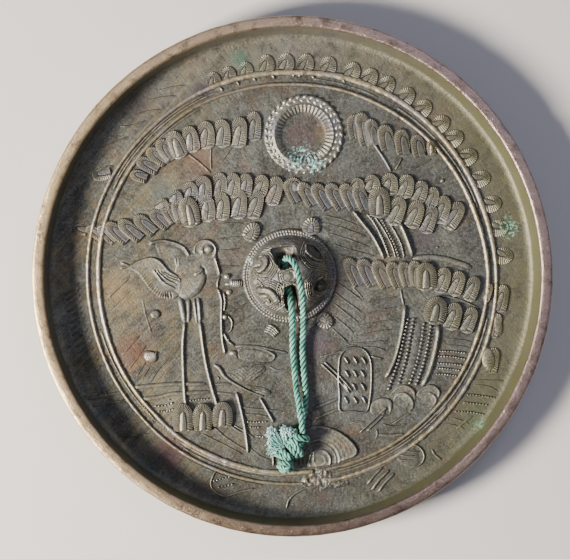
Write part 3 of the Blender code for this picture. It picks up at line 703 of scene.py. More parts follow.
inner = OUTER_RADIUS - RIM_WIDTH
profile = [(0.0, 0.0), (18.0, 0.0), (36.0, 0.0), (54.1, 0.0), (54.35, 0.1), (FACE_RADIUS, 0.35)]
profile += [(FACE_RADIUS + 0.42 * t, 0.35 + 8.1 * t) for t in (0.2, 0.4, 0.6, 0.8, 1.0)]
profile += [(54.93, 8.72), (54.78, 8.9), (54.45, 8.99), (53.9, 9.0), (53.3, 9.0), (52.9, 8.97),
            (52.66, 8.86), (52.55, 8.65)]
profile += [(52.55 - 0.85 * t, 8.65 - 5.05 * t) for t in (0.2, 0.4, 0.6, 0.8, 1.0)]
profile += [(51.62, 3.2), (51.45, 2.85), (51.1, 2.55), (50.6, 2.38), (50.1, 2.31)]
radius = 49.5
while radius > 0.3:
    profile.append((radius, GROUND))
    radius -= GROUND_STEP
profile.append((0.0, GROUND))

body = bmesh.new()
line = [body.verts.new((r, 0.0, z)) for r, z in profile]
edges = [body.edges.new(pair) for pair in zip(line, line[1:])]
bmesh.ops.spin(body, geom=line + edges, axis=(0.0, 0.0, 1.0), cent=(0.0, 0.0, 0.0),
               angle=2.0 * math.pi, steps=STEPS_AROUND, use_merge=True)
bmesh.ops.remove_doubles(body, verts=body.verts, dist=0.002)


def ground_wave(x, y):
    """How far the cast ground is above or below its true height."""
    spot = Vector((x, y, 0.0))
    return (0.07 * noise.noise(spot * 0.22) + 0.045 * noise.noise(spot * 0.55)
            + 0.03 * noise.noise(spot * 1.3))


for vert in body.verts:
    x, y, z = vert.co
    r = math.hypot(x, y)
    if 1.5 < z < 2.6 and r < 50.8:
        vert.co.z += ground_wave(x, y) * min(1.0, (51.0 - r) / 2.0)
    elif z > 2.6 and r < 52.6:
        vert.co.x *= 1.0 + 0.0016 * noise.noise(Vector((x * 0.2, y * 0.2, z * 0.5)))
        vert.co.y *= 1.0 + 0.0016 * noise.noise(Vector((x * 0.2, y * 0.2, z * 0.5)))
    if z > 8.0:
        angle = math.degrees(math.atan2(y, x))
        vert.co.z += 0.05 * (noise.noise(Vector((x, y, 0.0)) * 0.35) - 0.5)
        shrink = 1.0 - 0.0011 * (0.5 + noise.noise(Vector((x, y, 3.0)) * 0.4))
        vert.co.x, vert.co.y = x * shrink, y * shrink
        for at, deep, wide in NICKS:
            off = abs((angle - at + 180.0) % 360.0 - 180.0) * math.radians(1.0) * r
            if off < wide and r > 54.0:
                vert.co.z -= deep * (1.0 - (off / wide) ** 2) * min(1.0, (r - 54.0) / 0.8)
finish_piece("mirror_body", body, bronze, sharp=50.0)

# %% [markdown]
# ## Ridges and beads
# Most of the drawing on the back is a raised line: the mould maker pressed it into the clay with
# a stylus, so it stands up rounded on the bronze. `ridge` sweeps a small arched section along a
# smooth line and thins it at both ends. `beads` sets rows of small domes, which were pressed
# with a blunt point. A bead is a ball of a few faces, half sunk in the ground.


# %% Raised lines and beads
SINK = 0.45  # how deep a shape goes into the ground
ARCH = [(-0.5 * math.cos(math.radians(a)), math.sin(math.radians(a)))
        for a in (6, 30, 58, 90, 122, 150, 174)]  # across and up, for a width and height of 1


def ridge(target, points, width=0.7, height=0.5, pitch=0.55, base=GROUND, closed=False,
          lean=0.0, rough=0.0, blunt=False):
    """A raised rounded line. Width may be a list along the line; lean moves its crest aside."""
    line = spaced(points, pitch, closed)
    if closed:
        line = np.concatenate([line, line[:2]])
    widths = np.interp(np.linspace(0, 1, len(line)),
                       np.linspace(0, 1, len(np.atleast_1d(width))), np.atleast_1d(width))
    along = np.gradient(line[:, :2], axis=0)
    along /= np.linalg.norm(along, axis=1)[:, None]
    from_end = np.minimum(np.arange(len(line)), np.arange(len(line))[::-1]) * pitch
    rings = []
    for k, (spot, direction, wide) in enumerate(zip(line, along, widths)):
        end = 1.0 if closed or blunt else min(1.0, 0.3 + from_end[k] / (1.1 * wide))
        wave = 1.0 + rough * noise.noise(Vector((spot[0] * 1.1, spot[1] * 1.1, 5.0)))
        wide, tall = wide * (0.45 + 0.55 * end) * wave, height * end * wave
        across = np.array([direction[1], -direction[0]])
        ring = []
        for side, rise in [(-0.5, None), *ARCH, (0.5, None)]:
            place = spot[:2] + across * wide * (side + (lean * rise if rise else 0.0))
            level = base - SINK if rise is None else base + tall * rise
            ring.append((place[0], place[1], level))
        rings.append(ring)
    stamp(target, tower(rings))


def ridges(target, rows, **how):
    """Raised lines from rows of width, height and points."""
    for width, height, points in rows:
        ridge(target, points, width, height, **how)


def beads(target, points, pitch=0.75, size=0.5, height=0.4, stretch=1.0, turn=0.0, base=GROUND,
          closed=False, faces=(8, 5)):
    """Small domes along a smooth line, drawn out by stretch at an angle to the line."""
    line = spaced(points, pitch, closed)
    along = np.gradient(line, axis=0)
    for k, (spot, direction) in enumerate(zip(line, along)):
        angle = math.atan2(direction[1], direction[0]) + math.radians(turn)
        vary = 1.0 + 0.12 * math.sin(12.9 * k + spot[0])
        matrix = (Matrix.Translation((spot[0], spot[1], base)) @ Matrix.Rotation(angle, 4, "Z")
                  @ Matrix.Diagonal((size * stretch / 2 * vary, size / 2 * vary, height, 1.0)))
        bmesh.ops.create_uvsphere(target, u_segments=faces[0], v_segments=faces[1], radius=1.0,
                                  matrix=matrix)


# %% [markdown]
# ## The two ring lines
# Two raised rings part the picture from the outer field. They were cut free-hand in the clay,
# so their distance from the middle and their width change as they go round.

# %% The ring lines
# Degrees from the right, radius and width.
INNER_RING = [(0, 41.9, 1.2), (20, 41.3, 1.3), (45, 41.1, 1.1), (70, 40.9, 1.0), (90, 40.8, 1.0),
              (120, 41.3, 0.9), (150, 41.3, 1.1), (180, 41.1, 1.4), (205, 41.3, 1.2),
              (225, 41.4, 1.0), (236, 41.8, 1.3), (262, 42.0, 1.5), (290, 41.5, 1.2),
              (315, 41.7, 1.0), (340, 41.6, 1.1)]
OUTER_RING = [(0, 43.6, 1.1), (20, 43.3, 1.4), (45, 43.6, 1.3), (62, 43.8, 1.6), (75, 43.6, 1.7),
              (90, 43.3, 1.7), (108, 43.6, 1.6), (125, 43.5, 1.0), (150, 43.6, 1.0),
              (180, 43.4, 1.1), (205, 43.6, 1.0), (225, 43.9, 0.8), (240, 44.2, 0.9),
              (262, 44.3, 0.9), (290, 44.0, 1.2), (315, 44.2, 1.3), (340, 43.9, 1.2)]


def polar(angle, radius):
    """A point by degrees from +X and distance from the middle."""
    return (radius * math.cos(math.radians(angle)), radius * math.sin(math.radians(angle)))


rings_piece = bmesh.new()
for table, height, first, last in ((INNER_RING, 0.62, -80.0, 276.0),
                                   (OUTER_RING, 0.55, -79.0, 273.0)):
    degrees = np.linspace(first, last, 120)
    wrapped = [(a - 360, r, w) for a, r, w in table[-2:]] + table + [
        (a + 360, r, w) for a, r, w in table[:2]]
    radii = np.interp(degrees, [row[0] for row in wrapped], [row[1] for row in wrapped])
    widths = np.interp(degrees, [row[0] for row in wrapped], [row[2] for row in wrapped])
    radii += [0.16 * noise.noise(Vector((*polar(a, 3.0), height))) for a in degrees % 360]
    ridge(rings_piece, [polar(a, r) for a, r in zip(degrees, radii)], list(0.82 * widths), height,
          pitch=0.5, rough=0.30, blunt=True)
# fine lines between the two and beside them: radius, first and last degree, width, height
for radius, first, last, width, height in (
        (42.25, 112, 154, 0.5, 0.3), (42.75, 116, 150, 0.4, 0.26), (40.6, 118, 140, 0.4, 0.2),
        (42.2, 196, 226, 0.4, 0.2), (42.5, 236, 268, 0.6, 0.3), (43.2, 238, 262, 0.4, 0.2),
        (42.3, 20, 58, 0.5, 0.2), (42.7, 316, 348, 0.5, 0.26), (42.5, 283, 318, 0.4, 0.34),
        (43.1, 282, 320, 0.4, 0.34), (44.8, 284, 306, 0.4, 0.26),
        (44.9, 240, 262, 0.35, 0.18), (42.2, 64, 84, 0.5, 0.2)):
    ridge(rings_piece, [polar(a, radius) for a in np.linspace(first, last, 9)], width, height,
          rough=0.4)
for x, y in ((-15, 39.7), (-11.5, 41), (-8, 41.8), (-4, 42.4), (0.2, 42.8), (1.5, 42.7),
             (4.5, 42.3), (11, 41.5)):
    ridge(rings_piece, [(x - 0.35, y + 0.4), (x + 0.35, y - 0.4)], 0.5, 0.42, pitch=0.3)
# chisel dots along the rings
for k in range(90):
    angle = 25.0 + 3.43 * k + 1.5 * math.sin(5.1 * k)
    radius = 42.4 + 0.5 * math.sin(2.7 * k)
    x, y = polar(angle, radius)
    size = 0.34 + 0.14 * math.sin(1.9 * k)
    ridge(rings_piece, [(x - 0.22, y), (x + 0.22, y + 0.2 * math.sin(3.3 * k))], size, 0.2,
          pitch=0.2)
finish_piece("ring_lines", rings_piece, bronze)

# %% [markdown]
# ## The pine clumps
# Pine needles are drawn as arched tufts. Each is a thin tilted plate with a smooth pointed stem
# and a band of fine needles that fans out from it. The tufts of a twig lie over each other like
# roof tiles. On the left of a twig they rise to the left and on its right to the right, and the
# widest tuft, in front, is crowned. One tuft is a tower of about a dozen rings: the outline, the
# band, the groove round the stem and the stem's crest. Every second point of the band is
# raised, and that makes the needles.

# %% One clump
NEEDLE_PITCH = 0.23  # two steps are one needle, drawn as coarse as it needs to show


def arch(half, length, count, start=0.0, droop=1.0):
    """Points up the left side, round the top and down the right. Droop crowds them to the top."""
    bend = min(1.25 * half, length * 0.8)
    line = [(-0.82 * half, start), (-0.97 * half, start + 0.35 * (length - bend - start)),
            (-half, start + 0.7 * (length - bend - start))]
    line += [(-half * math.cos(math.pi * i / 10), length - bend + bend * math.sin(math.pi * i / 10))
             for i in range(11)]
    line += [(half, start + 0.7 * (length - bend - start)),
             (0.97 * half, start + 0.35 * (length - bend - start)), (0.82 * half, start)]
    line = np.array(line)
    far = np.concatenate([[0], np.cumsum(np.linalg.norm(np.diff(line, axis=0), axis=1))])
    half_way = np.linspace(-1, 1, count)
    at = far[-1] * (0.5 + 0.5 * np.sign(half_way) * (1 - (1 - np.abs(half_way)) ** droop))
    return np.stack([np.interp(at, far, line[:, 0]), np.interp(at, far, line[:, 1])], axis=1)


def clump(target, foot, tip, half, height, lean=1, core=0.38, core_length=0.70, needle=0.14,
          pitch=NEEDLE_PITCH, stem_rise=0.18, round_foot=0.3):
    """A tuft from its foot to its tip. Lean 1 rises to its right, -1 to its left, 0 is crowned."""
    foot, tip = np.array(foot), np.array(tip)
    length = float(np.linalg.norm(tip - foot))
    along = (tip - foot) / length
    across = np.array([along[1], -along[0]])
    count = 2 * int((2 * (length - half) + math.pi * half) / pitch / 2)
    ends = 5
    side = core * half
    stem_length = length * core_length
    outline = arch(half, length, count)
    stem = arch(side, stem_length, count, start=0.05, droop=0.6)
    outline = np.concatenate([outline, np.linspace(outline[-1], outline[0], ends + 2)[1:-1]])
    stem = np.concatenate([stem, np.linspace(stem[-1], stem[0], ends + 2)[1:-1]])
    if lean >= 0:
        outline[count:, 1] -= round_foot * half * np.sin(math.pi * np.arange(1, ends + 1) / (ends + 1))
    up = stem[:, 1] / stem_length
    middle = -half * (0.62 - 0.62 * up if lean > 0 else lean * (0.40 - 0.20 * up))
    stem[:, 0] = np.clip(stem[:, 0] * (1.0 - 0.45 * up) + middle, -0.95 * half, 0.95 * half)
    crest = np.stack([middle - 0.30 * side * (1.0 - up), np.clip(stem[:, 1], 0.25,
                                                                 stem_length - 0.35)], axis=1)
    flute = np.where(np.arange(len(outline)) % 2, 1.0, -1.0)
    flute[count:] = 0.0

    def level(spots):
        """The height of the tilted or crowned plate."""
        if lean:
            tilt = 0.68 + 0.32 * spots[:, 0] / half if lean > 0 else (
                0.76 - 0.24 * spots[:, 0] / half)
            return height * tilt * (0.82 + 0.18 * spots[:, 1] / length)
        return height * (1.0 - 0.38 * (spots[:, 0] / half) ** 2)

    rings = [(outline, np.full(len(outline), -SINK))]
    slope_width = 0.17 if lean < 0 else 0.07  # a tuft that rises to the left has a soft left side
    for share, rise, fluted in ((0.0, 0.40, 0.3), (slope_width, 0.96, 0.8), (0.32, 1.0, 1.0),
                                (0.62, 0.98, 1.0), (0.86, 0.90, 0.7)):
        spots = outline * (1 - share) + stem * share
        rings.append((spots, level(spots) * rise + needle * fluted * flute))
    rings.append((stem, level(stem) * 0.92 - 0.16))
    for share in (0.16, 0.55, 0.94):
        spots = stem * (1 - share) + crest * share
        tilt = 0.18 - 0.17 * (spots[:, 0] - middle) / side
        rings.append((spots, level(spots) + (tilt if lean < 0 else stem_rise * share)))
    solid = []
    for spots, heights in rings:
        world_spots = foot + spots[:, :1] * across + spots[:, 1:] * along
        solid.append([(p[0], p[1], GROUND + z) for p, z in zip(world_spots, heights)])
    stamp(target, tower(solid))


# %% The twigs
# Height, the number of the tuft in front, and for each tuft the middle of its foot, its tip
# and its half width. The tufts before the one in front rise to the left.
TWIGS = {
    "pine_upper_left": (0.8, 5, [
        (-38.5, 22.0, -42.4, 21.1, 1.5), (-30.9, 20.6, -34.4, 21.9, 1.3),
        (-28.6, 22.3, -33.0, 24.9, 1.4), (-26.8, 24.0, -30.8, 27.1, 1.5),
        (-25.5, 24.5, -28.4, 29.1, 1.6), (-23.6, 25.5, -25.7, 30.8, 1.9),
        (-20.8, 26.8, -22.3, 31.9, 1.7), (-18.0, 27.5, -18.6, 33.0, 1.9),
        (-14.6, 27.8, -15.1, 33.4, 1.8), (-11.2, 27.7, -11.2, 33.9, 1.7),
        (-8.0, 29.1, -8.2, 35.1, 1.6)]),
    "pine_middle_left": (0.9, 9, [
        (-43.5, 9.3, -46.6, 10.4, 1.2), (-40.4, 8.0, -43.6, 10.6, 1.1),
        (-37.6, 7.2, -41.2, 10.7, 1.2), (-35.2, 7.2, -39.4, 11.4, 1.4),
        (-32.2, 7.8, -36.8, 11.9, 1.5), (-29.3, 9.1, -33.4, 12.9, 1.5),
        (-26.3, 10.4, -30.0, 14.0, 1.5), (-24.9, 11.4, -27.4, 15.8, 1.4),
        (-23.4, 11.2, -24.8, 16.3, 1.4), (-21.2, 11.0, -22.6, 16.9, 2.2),
        (-17.7, 12.0, -18.6, 17.4, 1.8), (-14.7, 12.3, -15.1, 17.9, 1.7),
        (-11.3, 12.6, -11.3, 18.5, 1.8), (-8.4, 12.6, -7.3, 18.5, 1.8)]),
    "pine_middle_left_back": (0.85, -1, [
        (-27.8, 14.0, -27.3, 16.5, 1.6), (-24.8, 15.5, -24.6, 18.3, 1.6),
        (-21.5, 16.0, -21.8, 20.1, 1.7), (-18.6, 16.0, -19.0, 21.4, 1.8),
        (-15.2, 17.0, -15.5, 22.1, 1.6), (-12.6, 17.0, -12.5, 22.0, 1.6),
        (-10.1, 17.0, -9.8, 21.9, 1.6), (-7.0, 17.2, -6.2, 21.6, 1.7),
        (-4.3, 15.4, -3.1, 21.3, 1.7)]),
    "pine_seedlings": (1.05, None, [
        (-23.1, -32.9, -23.3, -27.0, 2.3), (-19.0, -32.8, -19.0, -27.0, 2.15),
        (-14.9, -32.0, -14.7, -26.6, 2.3)]),
    "pine_upper_right": (0.9, 6, [
        (13.6, 29.2, 12.9, 34.5, 1.6), (15.9, 27.8, 14.4, 35.0, 1.6),
        (17.4, 27.8, 16.5, 33.6, 1.6), (20.5, 26.8, 19.5, 32.4, 1.75),
        (23.8, 25.9, 23.1, 31.4, 1.65), (27.2, 25.4, 26.4, 30.3, 1.5),
        (29.8, 26.0, 29.5, 28.9, 1.0)]),
    "pine_middle_right": (0.9, 7, [
        (0.4, 18.0, 0.2, 21.1, 1.9), (1.0, 15.6, -1.4, 20.4, 1.3),
        (4.6, 15.0, 1.7, 20.0, 1.5), (7.8, 14.3, 4.6, 19.8, 1.6),
        (10.7, 14.3, 7.6, 19.8, 1.6), (13.3, 14.3, 10.8, 19.8, 1.6),
        (15.7, 14.0, 13.6, 19.4, 1.5), (18.7, 13.0, 18.5, 19.1, 2.4),
        (21.6, 11.2, 23.2, 16.9, 1.8), (25.6, 10.6, 27.0, 16.2, 1.8),
        (28.6, 9.4, 30.0, 15.2, 1.6)]),
    "pine_middle_right_back": (0.8, -1, [
        (14.0, 18.6, 13.7, 20.9, 1.6), (17.0, 18.3, 17.0, 21.6, 1.9),
        (20.8, 17.6, 20.7, 22.0, 1.9), (24.0, 17.0, 24.6, 21.7, 1.8),
        (27.0, 16.0, 27.8, 20.4, 1.6), (29.4, 14.8, 30.3, 19.0, 1.5),
        (31.4, 11.6, 32.6, 17.2, 1.8), (33.2, 10.4, 36.0, 15.8, 1.9)]),
    "pine_lower_right": (0.9, 6, [
        (14.3, -2.1, 11.6, 4.0, 1.5), (17.3, -2.1, 14.5, 3.8, 1.6),
        (20.3, -2.5, 17.6, 3.4, 1.6), (22.9, -2.4, 20.8, 3.1, 1.5),
        (24.9, -2.3, 23.5, 3.2, 1.5), (26.3, -2.3, 26.1, 3.5, 1.5),
        (28.6, -2.6, 28.5, 3.0, 2.4), (31.5, -3.2, 32.8, 1.9, 1.7),
        (34.6, -3.9, 35.9, 1.1, 1.6), (37.8, -5.0, 39.2, 0.0, 1.5),
        (41.4, -5.2, 42.4, -1.6, 0.8), (44.5, -7.4, 45.2, -1.8, 1.4)]),
    "pine_lowest_right": (0.9, 0, [
        (30.2, -9.7, 31.3, -4.3, 2.5), (33.9, -11.1, 35.0, -5.6, 1.8),
        (37.2, -11.8, 38.7, -6.6, 1.5), (43.0, -13.0, 44.1, -8.0, 1.0),
        (42.6, -20.5, 43.2, -15.2, 1.3)]),
}
LOW_CLUMPS = {(-8.0, 29.1), (-15.2, 17.0), (0.4, 18.0), (-38.5, 22.0), (-43.5, 9.3)}
OUTER_ROW = (5.4, 13.0, 19.8, 27.2, 34.0, 40.2, 45.6, 51.9, 57.5, 63.6,
             68.6, 73.6, 80.2, 86.3, 91.6, 96.9, 102.6, 107.4, 111.8)

for name, (height, front, rows) in TWIGS.items():
    twig = bmesh.new()
    for i, (foot_x, foot_y, tip_x, tip_y, half) in enumerate(rows):
        rise = height + 0.05 * math.sin(2.3 * i) + (0.12 if half > 2.0 else 0.0)
        if math.hypot(tip_x, tip_y) > 42.5:
            rise *= 0.5
        low = (foot_x, foot_y) in LOW_CLUMPS
        lean = 0 if front is None or i == front else (-1 if i < front else 1)
        rise *= 0.7 if low else 1.0
        clump(twig, (foot_x, foot_y), (tip_x, tip_y), half, rise, lean, needle=0.18 * rise,
              core=0.60 if lean < 0 else 0.40 if half > 2.0 else 0.56, stem_rise=0.15 * rise,
              round_foot=0.05 if front is None else 0.3)
    finish_piece(name, twig, bronze, sharp=30.0)
outer = bmesh.new()
for i, degrees in enumerate(OUTER_ROW):
    tip = 46.7 if degrees > 100.0 else 47.5
    half = 1.6 if degrees > 100.0 else 1.85
    clump(outer, polar(degrees, 44.0), polar(degrees, tip), half, 0.31 + 0.03 * (i % 3),
          core=0.42, core_length=0.62, needle=0.07, stem_rise=0.08)
finish_piece("pine_outer_row", outer, bronze, sharp=30.0)

# %% [markdown]
# ## Branches, trunks and legs
# The branches under the twigs, the two trunks with their rows of beads for bark, and the legs
# of the crane are raised lines too.

# %% Branches, trunks, legs and sticks
# Width, height, points.
LINES = {
    "branches": [
        (0.5, 0.22, [(-21.9, 25.8), (-19.6, 24.0), (-17.2, 21.8)]),
        (0.4, 0.2, [(-17.2, 27.6), (-17.3, 25.0), (-17.2, 22.6)]),
        (0.35, 0.12, [(-12.8, 27.4), (-15.0, 24.3)]),
        (0.6, 0.4, [(17.3, 28.3), (19.5, 25.0), (21.2, 22.1)]),
        (0.45, 0.3, [(23.4, 25.2), (22.0, 22.6)]), (0.35, 0.22, [(24.8, 22.4), (29.8, 25.0)]),
        (1.3, 0.45, [(25.8, 3.7), (29.0, 4.0), (32.0, 3.7), (35.0, 2.9), (38.3, 1.7)]),
        (0.5, 0.3, [(31.5, -4.2), (34.5, -4.7), (37.5, -5.8), (40.0, -7.0)])],
    "trunks": [
        (0.8, 0.8, [(13.0, 13.8), (15.0, 11.2), (17.0, 8.7), (18.5, 6.0), (19.6, 3.6)]),
        (0.32, 0.35, [(15.9, 13.2), (17.4, 11.3), (19.0, 8.3), (20.6, 4.2)]),
        (0.32, 0.35, [(17.6, 12.6), (19.4, 10.0), (21.2, 6.6), (22.1, 3.8)]),
        (0.32, 0.35, [(20.2, 12.2), (21.9, 9.4), (23.3, 6.5), (23.9, 3.8)]),
        (0.95, 0.85, [(22.9, 11.4), (24.2, 8.5), (25.1, 6.0), (25.7, 4.2)]),
        (0.95, 0.8, [(24.1, -6.2), (23.5, -11.0), (22.5, -15.5), (21.5, -18.6), (20.0, -21.6)]),
        (1.15, 0.75, [(31.2, -10.4), (31.0, -13.0), (30.2, -17.0), (29.2, -20.4),
                      (27.8, -23.4)]),
        (0.5, 0.3, [(23.2, -2.9), (23.4, -4.6), (23.9, -6.2)]),
        (1.7, 0.12, [(26.9, -9.6), (26.4, -14.0), (25.4, -19.0), (23.8, -23.2)])],
    "crane_legs": [
        (1.2, 0.6, [(-23.9, -4.4), (-23.4, -7.0), (-22.8, -9.9)]),
        (0.9, 0.45, [(-22.1, -4.8), (-22.0, -7.5), (-22.1, -9.8)]),
        (0.8, 0.45, [(-20.9, -4.8), (-20.6, -7.4), (-20.2, -10.0)]),
        (0.9, 0.65, [(-20.0, -4.6), (-19.8, -7.0), (-19.6, -9.8)]),
        (0.8, 0.65, [(-22.9, -9.6), (-23.3, -15.0), (-23.1, -22.0), (-22.7, -27.0),
                     (-21.6, -31.0)]),
        (0.8, 0.65, [(-19.7, -9.6), (-18.6, -17.5), (-17.2, -23.5), (-15.9, -27.8)])],
    "reeds_and_sticks": [
        (0.75, 0.7, [(-11.9, -24.7), (-10.9, -28.5), (-10.0, -33.0), (-9.4, -37.6)]),
        (0.65, 0.6, [(-6.8, -26.0), (-5.4, -28.6), (-3.9, -31.2)]),
        (0.5, 0.4, [(-4.1, -37.6), (-4.0, -40.4)]),
        (0.55, 0.45, [(-13.9, -31.3), (-11.5, -33.0), (-9.9, -33.6)]),
        (0.4, 0.3, [(-12.5, -31.7), (-10.6, -32.8), (-8.0, -34.5)]),
        (0.6, 0.55, [(-16.6, 4.2), (-15.9, 2.0), (-15.4, 0.2)]),
        (0.5, 0.45, [(-15.4, 0.2), (-15.9, -1.4), (-15.9, -2.6)]),
        (0.65, 0.6, [(-15.9, -2.6), (-15.1, -5.0), (-15.1, -9.0), (-15.0, -12.0),
                     (-14.8, -14.2), (-14.3, -16.6)]),
        (0.5, 0.45, [(-14.6, -3.4), (-14.3, -5.4), (-14.5, -7.6)]),
        (0.6, 0.5, [(-14.6, -12.0), (-13.6, -13.9), (-12.2, -14.9)]),
        (0.42, 0.4, [(-13.9, -8.3), (-13.0, -9.2), (-12.8, -10.3), (-13.1, -11.5), (-13.9, -12.2)])],
}
for name, rows in LINES.items():
    drawn = bmesh.new()
    ridges(drawn, rows, pitch=0.5, lean=-0.06)
    finish_piece(name, drawn, bronze)

# %% Rows of beads
BEAD_ROWS = [  # pitch, size, height, points
    (0.62, 0.52, 0.42, [(16.7, 12.9), (18.0, 10.5), (19.6, 7.5), (20.7, 4.2)]),
    (0.62, 0.56, 0.46, [(18.9, 12.4), (20.4, 9.5), (21.9, 6.5), (22.8, 3.9)]),
    (0.62, 0.5, 0.4, [(20.9, 11.0), (22.0, 9.0), (23.2, 6.4), (23.8, 4.2)]),
    (0.80, 0.72, 0.6, [(24.7, -9.2), (24.0, -12.5), (23.0, -17.0), (21.7, -21.0),
                        (20.6, -24.0)]),
    (0.80, 0.72, 0.6, [(25.9, -9.2), (25.2, -13.0), (24.2, -18.0), (22.8, -22.8)]),
    (0.80, 0.74, 0.6, [(28.1, -10.2), (27.6, -14.0), (26.6, -18.5), (25.1, -22.8)]),
    (0.80, 0.80, 0.66, [(29.6, -10.8), (28.9, -15.0), (27.8, -19.5), (26.5, -23.0)]),
    (0.60, 0.44, 0.52, [(31.6, -16.0), (34.0, -16.1), (36.8, -16.4)]),
    (0.60, 0.44, 0.52, [(31.3, -17.1), (34.0, -17.2), (36.8, -17.7)]),
    (0.60, 0.44, 0.52, [(31.2, -18.6), (33.6, -18.7), (36.0, -19.0)]),
    (0.60, 0.44, 0.52, [(31.0, -19.6), (33.4, -19.8), (35.6, -20.1)]),
    (0.60, 0.44, 0.52, [(30.9, -20.9), (33.0, -21.0), (35.0, -21.3)]),
    (0.65, 0.46, 0.42, [(37.5, -25.3), (40.0, -25.5), (43.2, -26.0)]),
    (0.65, 0.46, 0.42, [(36.8, -27.0), (39.0, -27.2), (41.5, -27.5)]),
    (0.65, 0.46, 0.42, [(35.0, -28.9), (37.6, -29.0), (40.8, -29.5)]),
    (0.64, 0.46, 0.5, [(-29.0, -27.6), (-27.2, -27.5), (-25.6, -27.0)]),
    (0.64, 0.46, 0.5, [(-28.3, -28.8), (-26.8, -28.7), (-25.4, -28.4)]),
    (0.64, 0.44, 0.46, [(-21.6, -26.5), (-20.0, -26.3), (-18.0, -26.1)]),
    (0.64, 0.46, 0.5, [(-9.4, -31.0), (-7.5, -31.1), (-5.6, -31.0)]),
    (0.64, 0.46, 0.5, [(-8.8, -32.2), (-7.2, -32.2)]),
    (0.64, 0.46, 0.5, [(-7.4, -34.1), (-6.2, -34.2)]),
    (0.64, 0.46, 0.5, [(-16.6, -43.6), (-15.0, -43.1), (-13.4, -42.7)]),
    (0.64, 0.46, 0.5, [(-15.6, -44.9), (-14.0, -44.6), (-12.8, -44.3)]),
    (0.6, 0.36, 0.3, [(-32.0, -26.9), (-29.5, -30.2), (-25.5, -33.6)])]
bead_piece = bmesh.new()
for pitch, size, height, points in BEAD_ROWS:
    beads(bead_piece, points, pitch, size, height)
for x, y, size, height in ((-26.1, -26.3, 0.45, 0.3), (-25.7, -27.2, 0.4, 0.3),
                           (-14.3, -8.7, 1.3, 0.75), (32.0, 20.3, 0.8, 0.35),
                           (28.5, -32.3, 0.45, 0.3),
                           (26.0, -34.3, 0.45, 0.3), (31.0, 6.1, 0.5, 0.25)):
    beads(bead_piece, [(x - 0.01, y), (x + 0.01, y)], 0.02, size, height, faces=(12, 7))
finish_piece("bead_rows", bead_piece, bronze)

# %% [markdown]
# ## Water, shore and ground lines
# Fine low lines fill the ground: ripples on both sides of the tortoise, bands along the shore,
# and slanting strokes of grass outside the rings. They are so low that they show only by the
# light on one side and the shade on the other.

